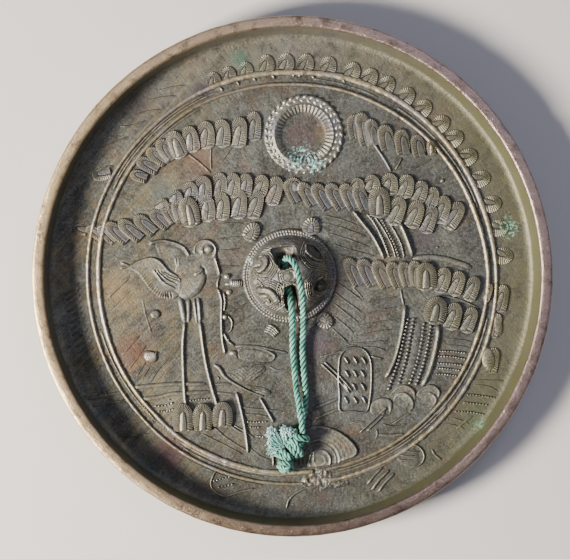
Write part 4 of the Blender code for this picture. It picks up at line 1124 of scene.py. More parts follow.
# %% Fine lines of the ground
FINE = [  # width, height, points
    # ripples left of the tortoise
    (0.35, 0.16, [(-16.0, 11.0), (-13.0, 11.3), (-10.4, 11.1)]),
    (0.35, 0.16, [(-15.6, 7.8), (-13.0, 8.2), (-10.6, 8.4)]),
    (0.35, 0.16, [(-15.2, 5.5), (-13.0, 5.6), (-11.0, 5.9)]),
    (0.35, 0.16, [(-15.0, 2.2), (-13.0, 2.1), (-11.2, 2.2)]),
    (0.35, 0.16, [(-13.2, -5.2), (-11.5, -4.4), (-10.6, -3.8)]),
    (0.35, 0.16, [(-13.0, -7.8), (-11.0, -6.5), (-9.8, -5.8)]),
    (0.35, 0.16, [(-12.6, -10.6), (-10.6, -9.2), (-8.6, -8.4)]),
    (0.35, 0.16, [(-11.8, -13.0), (-9.6, -11.8), (-7.6, -11.3)]),
    # ripples right of it, down to the right
    (0.4, 0.18, [(7.0, 12.9), (11.0, 11.9), (15.2, 10.3)]),
    (0.4, 0.18, [(7.6, 11.1), (11.0, 10.2), (15.8, 8.4)]),
    (0.4, 0.18, [(8.0, 9.1), (11.5, 8.0), (16.5, 6.2)]),
    (0.4, 0.18, [(8.9, 6.8), (12.5, 5.6), (17.5, 4.3)]),
    (0.4, 0.18, [(9.6, 4.6), (11.0, 4.2), (13.0, 4.0)]),
    (0.4, 0.2, [(9.3, -1.2), (12.0, -3.0), (15.0, -5.3)]),
    (0.4, 0.2, [(9.0, -3.4), (11.6, -5.4), (14.6, -7.6)]),
    (0.4, 0.2, [(9.0, -5.9), (11.4, -7.8), (14.2, -10.0)]),
    (0.4, 0.2, [(9.0, -8.6), (11.0, -10.2), (13.2, -12.2)]),
    (0.4, 0.2, [(8.4, -11.0), (10.2, -12.6), (12.0, -14.4)]),
    (0.4, 0.2, [(12.6, -1.9), (14.0, -3.4), (15.2, -4.9)]),
    # and up to the right from where they meet
    (0.4, 0.2, [(15.3, -5.7), (18.5, -5.2), (22.4, -4.4)]),
    (0.4, 0.2, [(15.0, -8.2), (18.0, -7.6), (22.4, -6.6)]),
    (0.4, 0.2, [(14.4, -10.6), (18.0, -9.9), (21.6, -9.3)]),
    (0.4, 0.2, [(13.4, -13.0), (17.0, -12.1), (21.0, -11.4)]),
    (0.4, 0.2, [(13.0, -14.4), (17.0, -14.1), (20.4, -13.8)]),
    (0.35, 0.18, [(17.2, -17.6), (18.8, -17.4)]),
    # shore bands
    (1.0, 0.36, [(-34.2, -23.7), (-31.5, -23.4), (-29.0, -23.2), (-25.0, -22.9),
                 (-21.0, -22.9), (-18.4, -22.9)]),
    (1.0, 0.34, [(-32.2, -26.2), (-28.5, -25.7), (-25.5, -25.0), (-21.0, -24.8),
                 (-17.6, -24.6)]),
    (0.6, 0.22, [(-16.4, -23.0), (-14.0, -22.9), (-12.8, -23.1)]),
    (0.7, 0.22, [(-16.0, -24.8), (-14.0, -25.0), (-12.0, -25.2)]),
    (0.6, 0.24, [(-11.0, -27.9), (-7.0, -28.4), (-2.0, -28.8)]),
    (0.6, 0.24, [(-10.4, -29.4), (-7.0, -29.6), (-4.6, -30.2)]),
    (0.8, 0.3, [(4.6, -28.3), (7.0, -27.2), (10.0, -26.0)]),
    (0.8, 0.3, [(5.2, -30.3), (7.6, -29.2), (10.3, -28.2)]),
    (0.6, 0.24, [(6.0, -17.2), (9.0, -16.4), (11.5, -15.9)]),
    (0.5, 0.22, [(-4.8, -19.2), (-2.8, -20.1), (-0.6, -19.3)]),
    (0.6, 0.3, [(-12.0, -14.9), (-8.0, -14.9), (-4.0, -15.7), (-1.0, -16.4)]),
    (0.5, 0.2, [(-20.0, -28.6), (-14.5, -34.0), (-9.0, -37.6)]),
    (0.4, 0.18, [(-19.0, -33.6), (-15.0, -35.6), (-10.4, -38.0)]),
    (0.4, 0.18, [(-9.0, -36.5), (-7.0, -38.2), (-4.6, -39.2)]),
    (0.6, 0.25, [(18.4, -33.8), (21.0, -33.9), (23.8, -33.7)]),
    (0.5, 0.22, [(18.0, -32.6), (18.3, -33.6), (17.9, -34.6)]),
    (0.5, 0.22, [(19.4, -31.6), (22.0, -32.1), (24.6, -31.4)]),
    # strokes by the right shore
    (0.4, 0.2, [(33.0, -13.4), (35.6, -13.6), (38.4, -14.0)]),
    (0.4, 0.2, [(33.0, -14.8), (35.4, -14.9), (38.0, -15.3)]),
    (0.5, 0.22, [(38.6, -22.4), (41.5, -22.3), (45.4, -22.4)]),
    (0.4, 0.2, [(39.0, -23.3), (42.0, -23.6), (44.6, -25.0)]),
    (0.4, 0.18, [(34.2, -30.2), (36.0, -30.8), (38.0, -31.6)]),
    (0.4, 0.18, [(33.0, -31.6), (35.4, -32.0), (37.0, -32.8)]),
    (0.55, 0.3, [(29.9, -37.0), (30.6, -38.2), (32.2, -39.4)]),
    (0.5, 0.4, [(24.9, -35.8), (27.1, -36.4), (28.2, -38.2), (27.5, -40.1), (25.2, -40.9)]),
    (0.42, 0.42, [(23.0, -36.9), (25.0, -37.4), (27.2, -37.5)]),
    (0.42, 0.42, [(22.6, -38.0), (24.6, -38.4), (26.4, -38.3)]),
    (0.42, 0.42, [(22.6, -39.0), (24.4, -39.3), (26.0, -39.2)]),
    (0.6, 0.22, [(38.6, -29.9), (36.8, -31.2), (35.2, -32.6)]),
    (0.7, 0.4, [(17.0, -45.6), (18.4, -43.6), (20.8, -41.2)]),
    (0.6, 0.36, [(16.0, -44.4), (17.4, -42.6), (19.4, -40.6)]),
    (0.7, 0.4, [(18.4, -46.0), (19.6, -44.2), (21.8, -42.0)]),
    (0.5, 0.36, [(-1.2, -49.6), (-0.8, -47.8), (0.8, -46.2), (3.2, -45.0), (6.0, -44.6)]),
    (0.5, 0.34, [(-16.1, -41.3), (-17.2, -43.4), (-16.9, -45.3), (-14.4, -46.8),
                 (-11.5, -46.0), (-8.0, -45.2)]),
    # grass outside the rings, upper left
    (0.45, 0.2, [(-40.0, 27.3), (-37.5, 28.5), (-34.7, 29.6)]),
    (0.45, 0.2, [(-36.5, 31.8), (-34.0, 32.0), (-31.0, 33.0)]),
    (0.45, 0.2, [(-33.5, 34.2), (-31.0, 34.9), (-28.0, 35.4)]),
    (0.45, 0.2, [(-30.5, 37.3), (-27.5, 38.0), (-24.5, 38.2)]),
    (0.45, 0.2, [(-28.5, 39.3), (-25.5, 40.1), (-22.5, 40.5)]),
    (0.4, 0.18, [(-42.4, 21.4), (-42.0, 22.2), (-40.0, 22.9), (-38.0, 23.5)]),
    # lower left
    (0.4, 0.2, [(-46.2, -19.2), (-44.4, -17.2), (-42.9, -14.8)]),
    (0.4, 0.2, [(-43.9, -20.0), (-42.6, -18.0), (-41.4, -16.3)]),
    (0.4, 0.24, [(-41.5, -21.1), (-40.4, -23.4), (-39.0, -26.2)]),
    (0.35, 0.22, [(-42.0, -22.9), (-41.2, -24.4), (-40.4, -26.0)]),
    (0.7, 0.24, [(-43.4, -26.1), (-40.0, -25.4), (-36.2, -24.7)]),
    (0.55, 0.26, [(-42.6, -27.5), (-39.0, -27.0), (-35.6, -26.4)]),
    (0.35, 0.24, [(-37.8, -27.9), (-37.0, -29.4), (-35.6, -31.0)]),
    (0.3, 0.2, [(-39.0, -28.4), (-38.0, -30.2), (-36.6, -31.4)]),
    (0.4, 0.2, [(-36.5, -34.0), (-33.0, -33.9), (-30.4, -33.4)]),
    # scratches and short strokes beside the crane
    (0.7, 0.16, [(-39.2, -4.6), (-37.0, -2.4), (-34.6, -0.2)]),
    (0.4, 0.15, [(-38.8, -7.2), (-36.6, -5.2), (-34.4, -3.0)]),
    (0.5, 0.08, [(-31.8, -4.8), (-31.0, -8.4), (-29.9, -12.0)]),
    (0.35, 0.16, [(-36.0, -16.8), (-34.0, -14.4), (-32.4, -12.6)]),
    (0.35, 0.16, [(-34.8, -20.0), (-32.8, -17.2), (-31.0, -14.6)]),
    (0.3, 0.18, [(-33.0, -21.2), (-32.0, -19.6), (-31.1, -18.4)]),
    (0.3, 0.18, [(-31.8, -21.6), (-31.0, -20.4), (-30.3, -19.4)]),
    (0.3, 0.18, [(-30.1, -22.4), (-28.2, -19.6), (-26.2, -17.4)]),
    (0.3, 0.18, [(-27.4, -21.4), (-26.2, -19.9), (-25.0, -18.8)]),
    (0.3, 0.14, [(-24.8, -17.6), (-23.6, -16.6)]),
]
fine = bmesh.new()
ridges(fine, FINE, pitch=0.6, lean=0.08)
# dense hatching in the shade at the left
for k in range(15):
    y = -2.4 - 1.25 * k
    x = -46.6 + 0.012 * y * y
    ridge(fine, [(x - 1.6, y - 1.5), (x, y - 0.4), (x + 1.3, y + 1.1)], 0.42, 0.24, pitch=0.7)
finish_piece("fine_ground_lines", fine, bronze)

# %% [markdown]
# ## Shapes carved as a surface
# The tortoise, the cranes and the plaque are small reliefs with feathers, scales and plates.
# Each is a fine grid whose points are raised by a drawing made of simple shapes. The main one is
# a thin tilted plate with a raised lip, as the clay tools left it: one edge stands up and the
# other runs out into the ground. Lines of any kind are added by the distance to them. Where the
# drawing falls below the ground, the sheet is hidden in the plate.


# %% Drawing with distances
def line_place(x, y, points, pitch=0.4):
    """How far each place is from a smooth line, and how far along the line that is."""
    line = spaced(points, pitch)
    best, along, run = np.full(len(x), 1e9), np.zeros(len(x)), 0.0
    for (ax, ay), (bx, by) in zip(line, line[1:]):
        dx, dy = bx - ax, by - ay
        step = math.hypot(dx, dy)
        t = np.clip(((x - ax) * dx + (y - ay) * dy) / (step * step), 0, 1)
        away = np.hypot(x - ax - t * dx, y - ay - t * dy)
        nearer = away < best
        best, along = np.where(nearer, away, best), np.where(nearer, run + t * step, along)
        run += step
    return best, along


def inside_distance(x, y, outline):
    """How far each place is inside a closed outline; less than 0 outside it."""
    points = [tuple(p) for p in spaced(outline, 0.5, closed=True)]
    inside = np.zeros(len(x), bool)
    best = np.full(len(x), 1e9)
    for (ax, ay), (bx, by) in zip(points, points[1:] + points[:1]):
        dx, dy = bx - ax, by - ay
        t = np.clip(((x - ax) * dx + (y - ay) * dy) / (dx * dx + dy * dy), 0, 1)
        best = np.minimum(best, np.hypot(x - ax - t * dx, y - ay - t * dy))
        inside ^= ((ay > y) != (by > y)) & (x < ax + (y - ay) * dx / (dy if dy else 1e-12))
    return np.where(inside, best, -best)


def bump_at(distance, width):
    """1 on a line, falling softly to 0 beside it."""
    return np.exp(-((distance / (0.5 * width)) ** 2))


def line_bump(x, y, points, width, pitch=0.4):
    """1 on a smooth line through the points, falling softly to 0 beside it."""
    return bump_at(line_place(x, y, points, pitch)[0], width)


def slab(x, y, outline, toward, low, high, lip=0.12, edge=0.28, power=1.0):
    """A thin plate that rises from low to high towards a direction in degrees, with a lip."""
    inside = inside_distance(x, y, outline)
    reach = x * math.cos(math.radians(toward)) + y * math.sin(math.radians(toward))
    held = reach[inside > 0]
    share = np.clip((reach - held.min()) / np.ptp(held), 0, 1) ** power
    top = (low + (high - low) * share) * np.clip(inside / edge, 0, 1) ** 0.5
    top += lip * bump_at(inside - 0.25, 0.42) * share
    return np.where(inside > 0, top, np.maximum(3.0 * inside - 0.02, -0.4))


CARVED_DEPTH = 0.8  # how far a carved piece goes down into the ground


def carved(box, step, height_at):
    """A closed solid under a grid raised by height_at(x, y), in millimetres over the ground."""
    x0, y0, x1, y1 = box
    bm = bmesh.new()
    place = Matrix.Translation(((x0 + x1) / 2, (y0 + y1) / 2, 0.0)) @ Matrix.Diagonal(
        (x1 - x0, y1 - y0, 1.0, 1.0))
    bmesh.ops.create_grid(bm, x_segments=int((x1 - x0) / step), y_segments=int((y1 - y0) / step),
                          size=0.5, matrix=place)
    x = np.array([vert.co.x for vert in bm.verts])
    y = np.array([vert.co.y for vert in bm.verts])
    z = height_at(x, y)
    for vert, rise in zip(bm.verts, z):
        vert.co.z = GROUND + rise
    spare = [face for face in bm.faces if all(vert.co.z < GROUND - 0.22 for vert in face.verts)]
    bmesh.ops.delete(bm, geom=spare, context="FACES")
    rim_edges = [edge for edge in bm.edges if edge.is_boundary]
    made = bmesh.ops.extrude_edge_only(bm, edges=rim_edges)["geom"]
    for vert in made:
        if isinstance(vert, bmesh.types.BMVert):
            vert.co.z = GROUND - CARVED_DEPTH
    bmesh.ops.holes_fill(bm, edges=[edge for edge in bm.edges if edge.is_boundary], sides=0)
    return bm


# %% [markdown]
# ## The standing crane
# The crane has a round head with a bulging eye, a wing with one hard edge, a tail edged with
# short feathers, and a breast that swells towards its right side.

# %% The standing crane
TAIL_EDGE = [(-33.3, 1.1), (-32.1, -0.1), (-30.9, -1.8), (-29.6, -3.3), (-27.6, -4.6),
             (-25.4, -4.7)]


def crane_height(x, y):
    neck = slab(x, y, [(-22.6, 4.4), (-20.6, 4.9), (-18.4, 5.0), (-16.2, 5.2), (-15.9, 2.6),
                       (-15.3, 0.1), (-15.7, -2.4), (-17.4, -2.8), (-19.5, -2.0),
                       (-23.6, -1.5), (-25.0, 0.4), (-24.2, 3.0)], 0, 0.16, 0.30, lip=0.10)
    neck -= 0.035 * np.clip(2.5 - y, 0, 6) ** 2
    wing = slab(x, y, [(-29.2, 7.0), (-27.4, 7.65), (-24.9, 7.2), (-23.0, 6.3), (-21.8, 4.7),
                       (-21.4, 2.6), (-22.8, 0.4), (-25.4, -0.4), (-27.6, 1.2), (-28.2, 3.9),
                       (-28.8, 5.9)], 78, -0.30, 0.44, lip=0.0,
                edge=2.6)
    away, _ = line_place(x, y, [(-29.8, 7.1), (-27.4, 7.5), (-24.95, 7.0), (-23.1, 6.15),
                                (-22.0, 4.6)])
    wing = np.maximum(wing, 0.52 * bump_at(away, 0.75) - 0.06)
    wing -= 0.09 * bump_at(away - 0.62, 0.3) * (wing > 0)
    tail = slab(x, y, [(-35.6, 2.0), (-34.0, 2.7), (-32.2, 3.6), (-30.4, 4.1), (-28.9, 3.9),
                       (-27.7, 3.1), (-26.0, 1.2), (-23.8, -0.4), (-23.6, -2.8), (-24.8, -4.7),
                       (-27.4, -4.7), (-29.6, -3.4), (-31.0, -1.8), (-32.2, -0.1), (-33.6, 1.1)],
                66, 0.02, 0.52, lip=0.10)
    head_ring = [(-18.5 + 2.55 * math.cos(a), 5.4 + 2.5 * math.sin(a))
                 for a in np.arange(0, 6.2, 0.52)]
    head = slab(x, y, head_ring, 45, 0.10, 0.50, lip=0.0)
    from_head = np.hypot(x + 18.5, y - 5.4)
    head += 0.15 * bump_at(from_head - 2.3, 0.4) * (from_head < 2.5) * (y + x * 0.5 > -5.5)
    breast = slab(x, y, [(-21.6, 3.9), (-23.6, 1.6), (-25.2, -1.2), (-24.5, -3.6),
                         (-23.2, -4.9), (-21.3, -4.7), (-19.5, -3.3), (-18.4, -1.2),
                         (-18.2, 0.8), (-18.4, 2.4), (-19.4, 3.6)], -20, 0.14, 0.66, lip=0.04,
                  edge=0.9)
    breast -= 0.035 * np.clip(y + 1.5, 0, 6) ** 2
    # short feathers along the tail, long ones on it
    away, along = line_place(x, y, TAIL_EDGE)
    strokes = np.cos(2 * math.pi * along / 0.58) * np.clip(1.9 - away / 0.8, 0, 1)
    tail += np.where((tail > 0) & (along > 1.2), (0.06 + 0.015 * along) * strokes, 0.0)
    for start, bend, end in (((-29.3, 1.1), (-27.5, -1.2), (-25.0, -2.6)),
                             ((-28.7, 1.1), (-26.9, -0.7), (-24.7, -1.8)),
                             ((-27.9, 0.9), (-26.4, -0.3), (-24.1, -1.2)),
                             ((-27.3, 0.8), (-25.8, -0.1), (-23.7, -0.8))):
        tail += 0.24 * line_bump(x, y, [start, bend, end], 0.30)
        beside = [(start[0] + 0.25, start[1] + 0.2), (bend[0] + 0.25, bend[1] + 0.25),
                  (end[0], end[1] + 0.35)]
        tail -= 0.20 * line_bump(x, y, beside, 0.28)
    z = np.logaddexp.reduce([14 * plate for plate in (neck, wing, tail, head, breast)]) / 14
    # eye, the notch at the throat, and small feathers on the back
    eye = np.hypot(x + 17.7, y - 5.7)
    z += 0.52 * np.sqrt(np.clip(1 - (eye / 0.85) ** 2, 0, 1)) - 0.2 * bump_at(eye - 1.05, 0.32)
    z += 0.30 * bump_at(np.hypot(x + 19.0, y - 5.3), 1.0)
    z += 0.45 * line_bump(x, y, [(-20.4, 0.5), (-19.7, 0.8), (-19.1, 1.4)], 0.5)
    z -= 0.34 * line_bump(x, y, [(-19.2, 2.0), (-18.8, 1.6), (-18.5, 0.6)], 0.45)
    for dx in (0.0, 0.55):
        z += 0.12 * line_bump(x, y, [(-24.7 + dx, 3.6), (-24.6 + dx, 2.4)], 0.3)
    for spot in ((-36.2, 1.75), (-36.0, 2.75)):
        z = np.maximum(z, 0.5 * line_bump(x, y, [spot, (-34.6, 2.2)], 0.6, 0.2) - 0.1)
    return z


crane = carved((-37.4, -5.9, -14.9, 8.7), 0.14, crane_height)
finish_piece("standing_crane", crane, bronze, sharp=60.0)

# %% [markdown]
# ## The second crane
# The lower crane spreads its wings among the reeds. It is worn and partly hidden, so it is
# drawn with flatter plates: a long body, two feathered wings and a dark pointed tail.

# %% The second crane


def second_crane_height(x, y):
    body = slab(x, y, [(-11.4, -15.4), (-9.5, -14.8), (-7.3, -15.0), (-5.1, -15.7),
                       (-3.5, -16.7), (-3.6, -17.7), (-4.8, -18.4), (-8.1, -18.3),
                       (-10.7, -17.8), (-11.6, -16.6)], 50, 0.06, 0.38, lip=0.12)
    body -= 0.14 * line_bump(x, y, [(-10.9, -15.9), (-9.4, -15.4), (-7.3, -15.6), (-5.3, -16.2),
                                    (-4.0, -17.0)], 0.26) * (body > 0)
    left_wing = slab(x, y, [(-14.6, -21.4), (-13.4, -20.2), (-11.6, -19.6), (-10.0, -19.0),
                            (-9.0, -19.8), (-9.6, -21.6), (-10.8, -23.0), (-12.6, -23.0)],
                     55, 0.02, 0.32, lip=0.02, edge=1.2)
    left_wing += 0.035 * np.cos(2 * math.pi * (0.62 * x + 0.78 * y) / 0.62) * (left_wing > 0.1)
    right_wing = slab(x, y, [(-10.0, -18.7), (-7.6, -18.6), (-5.8, -19.1), (-5.7, -20.4),
                             (-7.3, -21.8), (-9.2, -22.4), (-10.6, -21.2)], -20, 0.02, 0.36, lip=0.02,
                      edge=1.2)
    right_wing += 0.05 * np.cos(2 * math.pi * (0.62 * x - 0.78 * y) / 0.6) * (right_wing > 0.1)
    tail = slab(x, y, [(-10.7, -23.2), (-7.8, -23.2), (-5.4, -23.9), (-4.4, -25.0),
                       (-6.0, -25.5), (-8.6, -24.6)], 40, 0.05, 0.56, lip=0.0, edge=0.7)
    for shift in (-0.1, 0.35, 0.8):
        tail -= 0.22 * line_bump(x, y, [(-8.6, -23.3 - shift), (-6.6, -23.6 - shift),
                                        (-4.8, -24.4 - shift)], 0.26) * (tail > 0)
    z = np.maximum.reduce([body, left_wing, right_wing, tail])
    head = np.hypot((x + 12.5) / 1.0, (y + 16.4) / 0.7)
    z = np.maximum(z, 0.6 * np.sqrt(np.clip(1 - head ** 2, 0, 1)) - 0.05)
    return z


second_crane = carved((-15.2, -25.8, -2.9, -14.2), 0.14, second_crane_height)
ridges(second_crane, [
    ([0.9, 0.8, 0.6, 0.4, 0.3], 0.5, [(-16.6, -18.8), (-15.4, -19.7), (-14.4, -21.3),
                                      (-12.2, -22.9), (-9.1, -24.5), (-6.0, -25.6)]),
    (0.4, 0.35, [(-13.3, -15.9), (-12.6, -16.5), (-11.6, -17.4)]),
    (0.4, 0.3, [(-15.9, -21.3), (-15.4, -22.1)]),
    (0.35, 0.25, [(-13.9, -21.0), (-12.0, -20.6), (-10.1, -19.4)])], pitch=0.4)
finish_piece("second_crane", second_crane, bronze, sharp=60.0)

# %% [markdown]
# ## The tortoise knob
# The knob of such a mirror is pierced, so that a cord can be passed through it. Here it is a
# tortoise seen from above: a domed shell inside a beaded border, six-sided plates with nested
# lines, hooked scrolls, four feet and a head. The shell is a carved sheet. Its two openings are
# sunk in the sheet, and a Boolean modifier drills the passage under the bridge between them.

# %% The shell
KNOB_CENTRE = (-0.5, 0.0)
SHELL = [(0.0, 5.10), (2.74, 4.85), (4.90, 4.18), (6.66, 3.21), (7.84, 2.14), (8.43, 0.80),
         (8.75, 0.62), (9.85, 0.60), (10.1, 0.30), (10.2, -0.40), (11.0, -0.40)]
SCUTES = [  # middle and turn of the six-sided plates, and the sizes of their nested lines
    (-0.9, 0.1, 12.0, (1.35, 1.75)), (-6.3, 2.6, 30.0, (1.75, 2.2, 2.65, 3.1)),
    (-5.2, -4.1, 5.0, (1.95, 2.4, 2.85, 3.3)), (4.9, 4.9, 40.0, (2.3, 2.7, 3.1)),
    (6.0, -2.3, 10.0, (2.0, 2.4, 2.8, 3.2)), (-0.6, -9.2, 0.0, (1.7, 2.1, 2.5))]
UPPER_OPENING = [(-5.0, 6.2), (-4.4, 4.2), (-3.1, 2.2), (-2.2, 1.4), (0.2, 2.2), (0.8, 4.6),
                 (0.2, 6.9)]
LOWER_OPENING = [(0.7, -2.0), (-1.1, -2.1), (-1.9, -3.6), (-2.0, -6.4), (-1.2, -7.8), (1.1, -8.0),
                 (1.5, -5.0)]


def shell_height(x, y):
    cx, cy = KNOB_CENTRE
    far = np.hypot(x - cx, y - cy)
    angle = np.arctan2(y - cy, x - cx)
    z = np.interp(far, [row[0] for row in SHELL], [row[1] for row in SHELL])
    # beaded border: two rows of short strokes and a line inside them
    for radius, count, turn in ((9.55, 96, 0.0), (9.02, 92, 1.6)):
        row = bump_at(far - radius, 0.5)
        z += row * (0.10 + 0.11 * np.cos(count * angle + turn))
    z -= 0.12 * bump_at(far - 9.29, 0.16)
    z += 0.24 * bump_at(far - 8.42, 0.36)
    # six-sided plates
    on_dome = np.clip((8.2 - far) / 0.4, 0, 1)
    for mx, my, turn, sizes in SCUTES:
        across = [np.abs((x - mx) * math.cos(math.radians(turn + k))
                         + (y - my) * math.sin(math.radians(turn + k))) for k in (0, 60, 120)]
        hexagon = 0.72 * np.maximum.reduce(across) + 0.28 * np.hypot(x - mx, y - my)
        for size in sizes:
            z += 0.21 * bump_at(hexagon - size, 0.26) * on_dome
            z -= 0.20 * bump_at(hexagon - size - 0.22, 0.22) * on_dome
    z += 0.10 * bump_at(np.hypot(x + 0.9, y - 0.1), 1.2)
    # hooked scrolls
    for width, tall, points in (
            (1.5, 0.85, [(-6.8, -3.1), (-5.6, -3.1), (-4.4, -3.9), (-3.5, -5.2)]),
            (1.2, 0.80, [(-7.7, 1.3), (-6.5, 1.6), (-5.8, 2.8), (-5.9, 3.8)]),
            (0.7, 0.50, [(4.5, -3.9), (4.4, -2.6), (4.9, -1.4), (6.2, -0.3)]),
            (0.6, 0.40, [(2.9, 6.6), (3.0, 5.3), (4.4, 3.9), (6.2, 3.4)]),
            (0.5, 0.28, [(-6.2, -5.6), (-5.5, -4.9), (-4.9, -5.5)]),
            (0.4, 0.22, [(-7.9, -0.6), (-6.9, -1.3), (-6.3, -2.2)]),
            (0.4, 0.25, [(-1.9, -1.7), (-1.9, -3.2), (-2.5, -4.8)]),
            (0.4, 0.20, [(-3.0, -1.6), (-3.3, -3.0), (-2.6, -6.4)])):
        away, _ = line_place(x, y, points)
        z += tall * np.clip(1.35 - (away / (0.5 * width)) ** 2, 0, 1) - 0.2 * bump_at(
            away - 0.62 * width, 0.3)
    # the deep oval and the hollow round a boss, both on the right
    slant = np.hypot((x - 4.75 + y - 5.15) / 1.42 / 0.85, (x - 4.75 - y + 5.15) / 1.42 / 2.1)
    z -= 3.2 * np.clip(1.12 - slant, 0, 0.42)
    z += 0.6 * bump_at(np.hypot(x - 4.4, y - 4.6), 1.0)
    boss = np.hypot(x - 5.8, y + 2.35)
    z -= 1.1 * bump_at(boss - 1.1, 0.9)
    z += 0.25 * bump_at(boss, 1.0)
    z += 0.7 * np.sqrt(np.clip(1 - (np.hypot(x - 0.1, y - 5.45) / 0.9) ** 2, 0, 1))
    # the two openings, with rough walls and floors
    rough = np.array([noise.noise(Vector((u * 0.9, v * 0.9, 4.0))) for u, v in zip(x, y)])
    for outline, floor_points in (
            (UPPER_OPENING, ((-3.9, 5.6, 1.9), (-2.3, 2.6, 0.5), (0.0, 5.6, 2.1))),
            (LOWER_OPENING, ((0.0, -2.9, 0.5), (-0.4, -5.2, 1.1), (0.0, -7.4, 2.1)))):
        inside = inside_distance(x, y, outline) + 0.22 * rough
        near = [1.0 / (0.2 + (x - fx) ** 2 + (y - fy) ** 2) for fx, fy, _ in floor_points]
        floor_level = sum(w * f[2] for w, f in zip(near, floor_points)) / sum(near)
        sunk = floor_level + 0.25 * rough + np.clip(0.75 - inside, 0, 1) * 4.0
        z = np.where(inside > 0, np.minimum(z, sunk), z)
        z += 0.14 * bump_at(inside + 0.25, 0.4) * (far < 8.3)
    return z


knob = carved((-11.3, -10.8, 10.3, 10.8), 0.135, shell_height)
print("shell:", len(knob.faces), "faces")

# %% The passage for the cord
PASSAGE_ENDS = ((-1.75, 3.6), (-0.85, -4.4))
PASSAGE_SECTION = [(-1.3, 0.5), (1.3, 0.5), (1.45, 2.0), (0.8, 2.95), (-0.8, 2.95), (-1.45, 2.0)]

bmesh.ops.recalc_face_normals(knob, faces=knob.faces)
knob_object = as_object("knob", knob)
start, end = (np.array(point) for point in PASSAGE_ENDS)
direction = (end - start) / np.linalg.norm(end - start)
side = np.array([direction[1], -direction[0]])
drill = tower([[(*(point + side * u), GROUND + v) for u, v in PASSAGE_SECTION]
               for point in (start, end)])
bmesh.ops.recalc_face_normals(drill, faces=drill.faces)
drill_object = as_object("drill", drill)
cut = knob_object.modifiers.new("passage", "BOOLEAN")
cut.operation, cut.solver, cut.object = "DIFFERENCE", "EXACT", drill_object
bpy.context.view_layer.update()
cut_mesh = bpy.data.meshes.new_from_object(
    knob_object.evaluated_get(bpy.context.evaluated_depsgraph_get()))
knob = bmesh.new()
knob.from_mesh(cut_mesh)
for spare in (knob_object, drill_object):
    bpy.data.objects.remove(spare)
finish_piece("tortoise_shell", knob, bronze, sharp=60.0)

# %% Feet and head
limbs = bmesh.new()
for foot, tip, half, height in (((-9.4, 8.0), (-7.4, 11.3), 1.7, 0.8),
                                ((3.9, 9.3), (4.4, 12.5), 1.9, 0.85),
                                ((6.0, -8.8), (8.4, -10.7), 1.7, 0.7)):
    clump(limbs, foot, tip, half, height, 0, core=0.42, core_length=0.55, needle=0.14, pitch=0.36,
          stem_rise=0.0)
for k in range(4):  # the fourth foot is seen from the side
    x, y = -5.9 + 0.28 * k, -11.6 + 0.42 * k
    ridge(limbs, [(x, y), (x + 1.2, y - 0.45 - 0.05 * k), (x + 2.3, y - 1.45 - 0.12 * k)],
          [0.7, 0.6, 0.4], 0.5, pitch=0.3)
for x, y, size, stretch, turn, height in ((-13.9, -0.1, 1.5, 1.0, 0, 0.9),
                                          (-12.1, -1.6, 1.5, 1.7, -8, 0.7),
                                          (-13.4, -3.4, 1.3, 1.0, 0, 0.45),
                                          (-13.4, -3.4, 0.7, 1.0, 0, 0.75),
                                          (-13.5, -1.7, 0.8, 2.2, 5, 0.7)):
    beads(limbs, [(x - 0.01, y), (x + 0.01, y)], 0.02, size, height, stretch, turn,
          faces=(16, 9))
for k in range(6):
    x = -13.0 + 0.42 * k
    ridge(limbs, [(x, -2.3), (x + 0.25, -1.5), (x + 0.1, -0.8)], 0.26, 0.82, pitch=0.3)
finish_piece("tortoise_feet_and_head", limbs, bronze, sharp=30.0)

# %% [markdown]
# ## The sun
# The sun is a flat disc in a fluted hollow, inside two rows of slanting beads that read as a
# rope. The hollow is one tower: a wall, a crest, and a fluted slope that comes down to the disc.
# The beads are set on it one by one, and each row slants the other way.

# %% The sun
SUN_CENTRE = (2.5, 30.15)
FLUTES = 44
SUN_RINGS = [  # radius, height, flute depth
    (8.45, -SINK, 0.0), (8.45, 0.10, 0.0), (8.2, 0.32, 0.0), (7.6, 0.42, 0.0), (6.9, 0.48, 0.0),
    (6.5, 0.70, 0.04), (6.3, 0.80, 0.07), (6.0, 0.72, 0.10), (5.5, 0.50, 0.11),
    (5.0, 0.28, 0.10), (4.6, 0.10, 0.05), (4.35, 0.03, 0.0), (2.6, 0.02, 0.0), (1.2, 0.03, 0.0)]
angles = 2 * math.pi * np.arange(2 * FLUTES) / (2 * FLUTES)
raised = np.where(np.arange(2 * FLUTES) % 2, 1.0, -1.0)
sun = tower([[(SUN_CENTRE[0] + radius * math.cos(a), SUN_CENTRE[1] + radius * math.sin(a),
               GROUND + height + depth * up) for a, up in zip(angles, raised)]
             for radius, height, depth in SUN_RINGS])
for radius, number, size, stretch, slant, height in ((8.0, 33, 0.80, 1.75, 30.0, 0.50),
                                                     (7.15, 31, 0.76, 1.65, -30.0, 0.56)):
    circle = [(SUN_CENTRE[0] + radius * math.cos(a), SUN_CENTRE[1] + radius * math.sin(a))
              for a in np.arange(0, 2 * math.pi, 2 * math.pi / number)]
    beads(sun, circle, 2 * math.pi * radius / number, size, height, stretch, slant,
          base=GROUND + 0.2, closed=True, faces=(12, 8))
ridge(sun, [(5.6, 26.9), (6.0, 26.0), (6.4, 25.2)], 0.5, 0.5, pitch=0.3)
finish_piece("sun", sun, bronze, sharp=40.0)

# %% [markdown]
# ## The plaque
# A little tablet stands among the rocks. It has a narrow raised frame, and a short text inside
# it. The text is given as rows of plain shallow strokes that aren't letters.

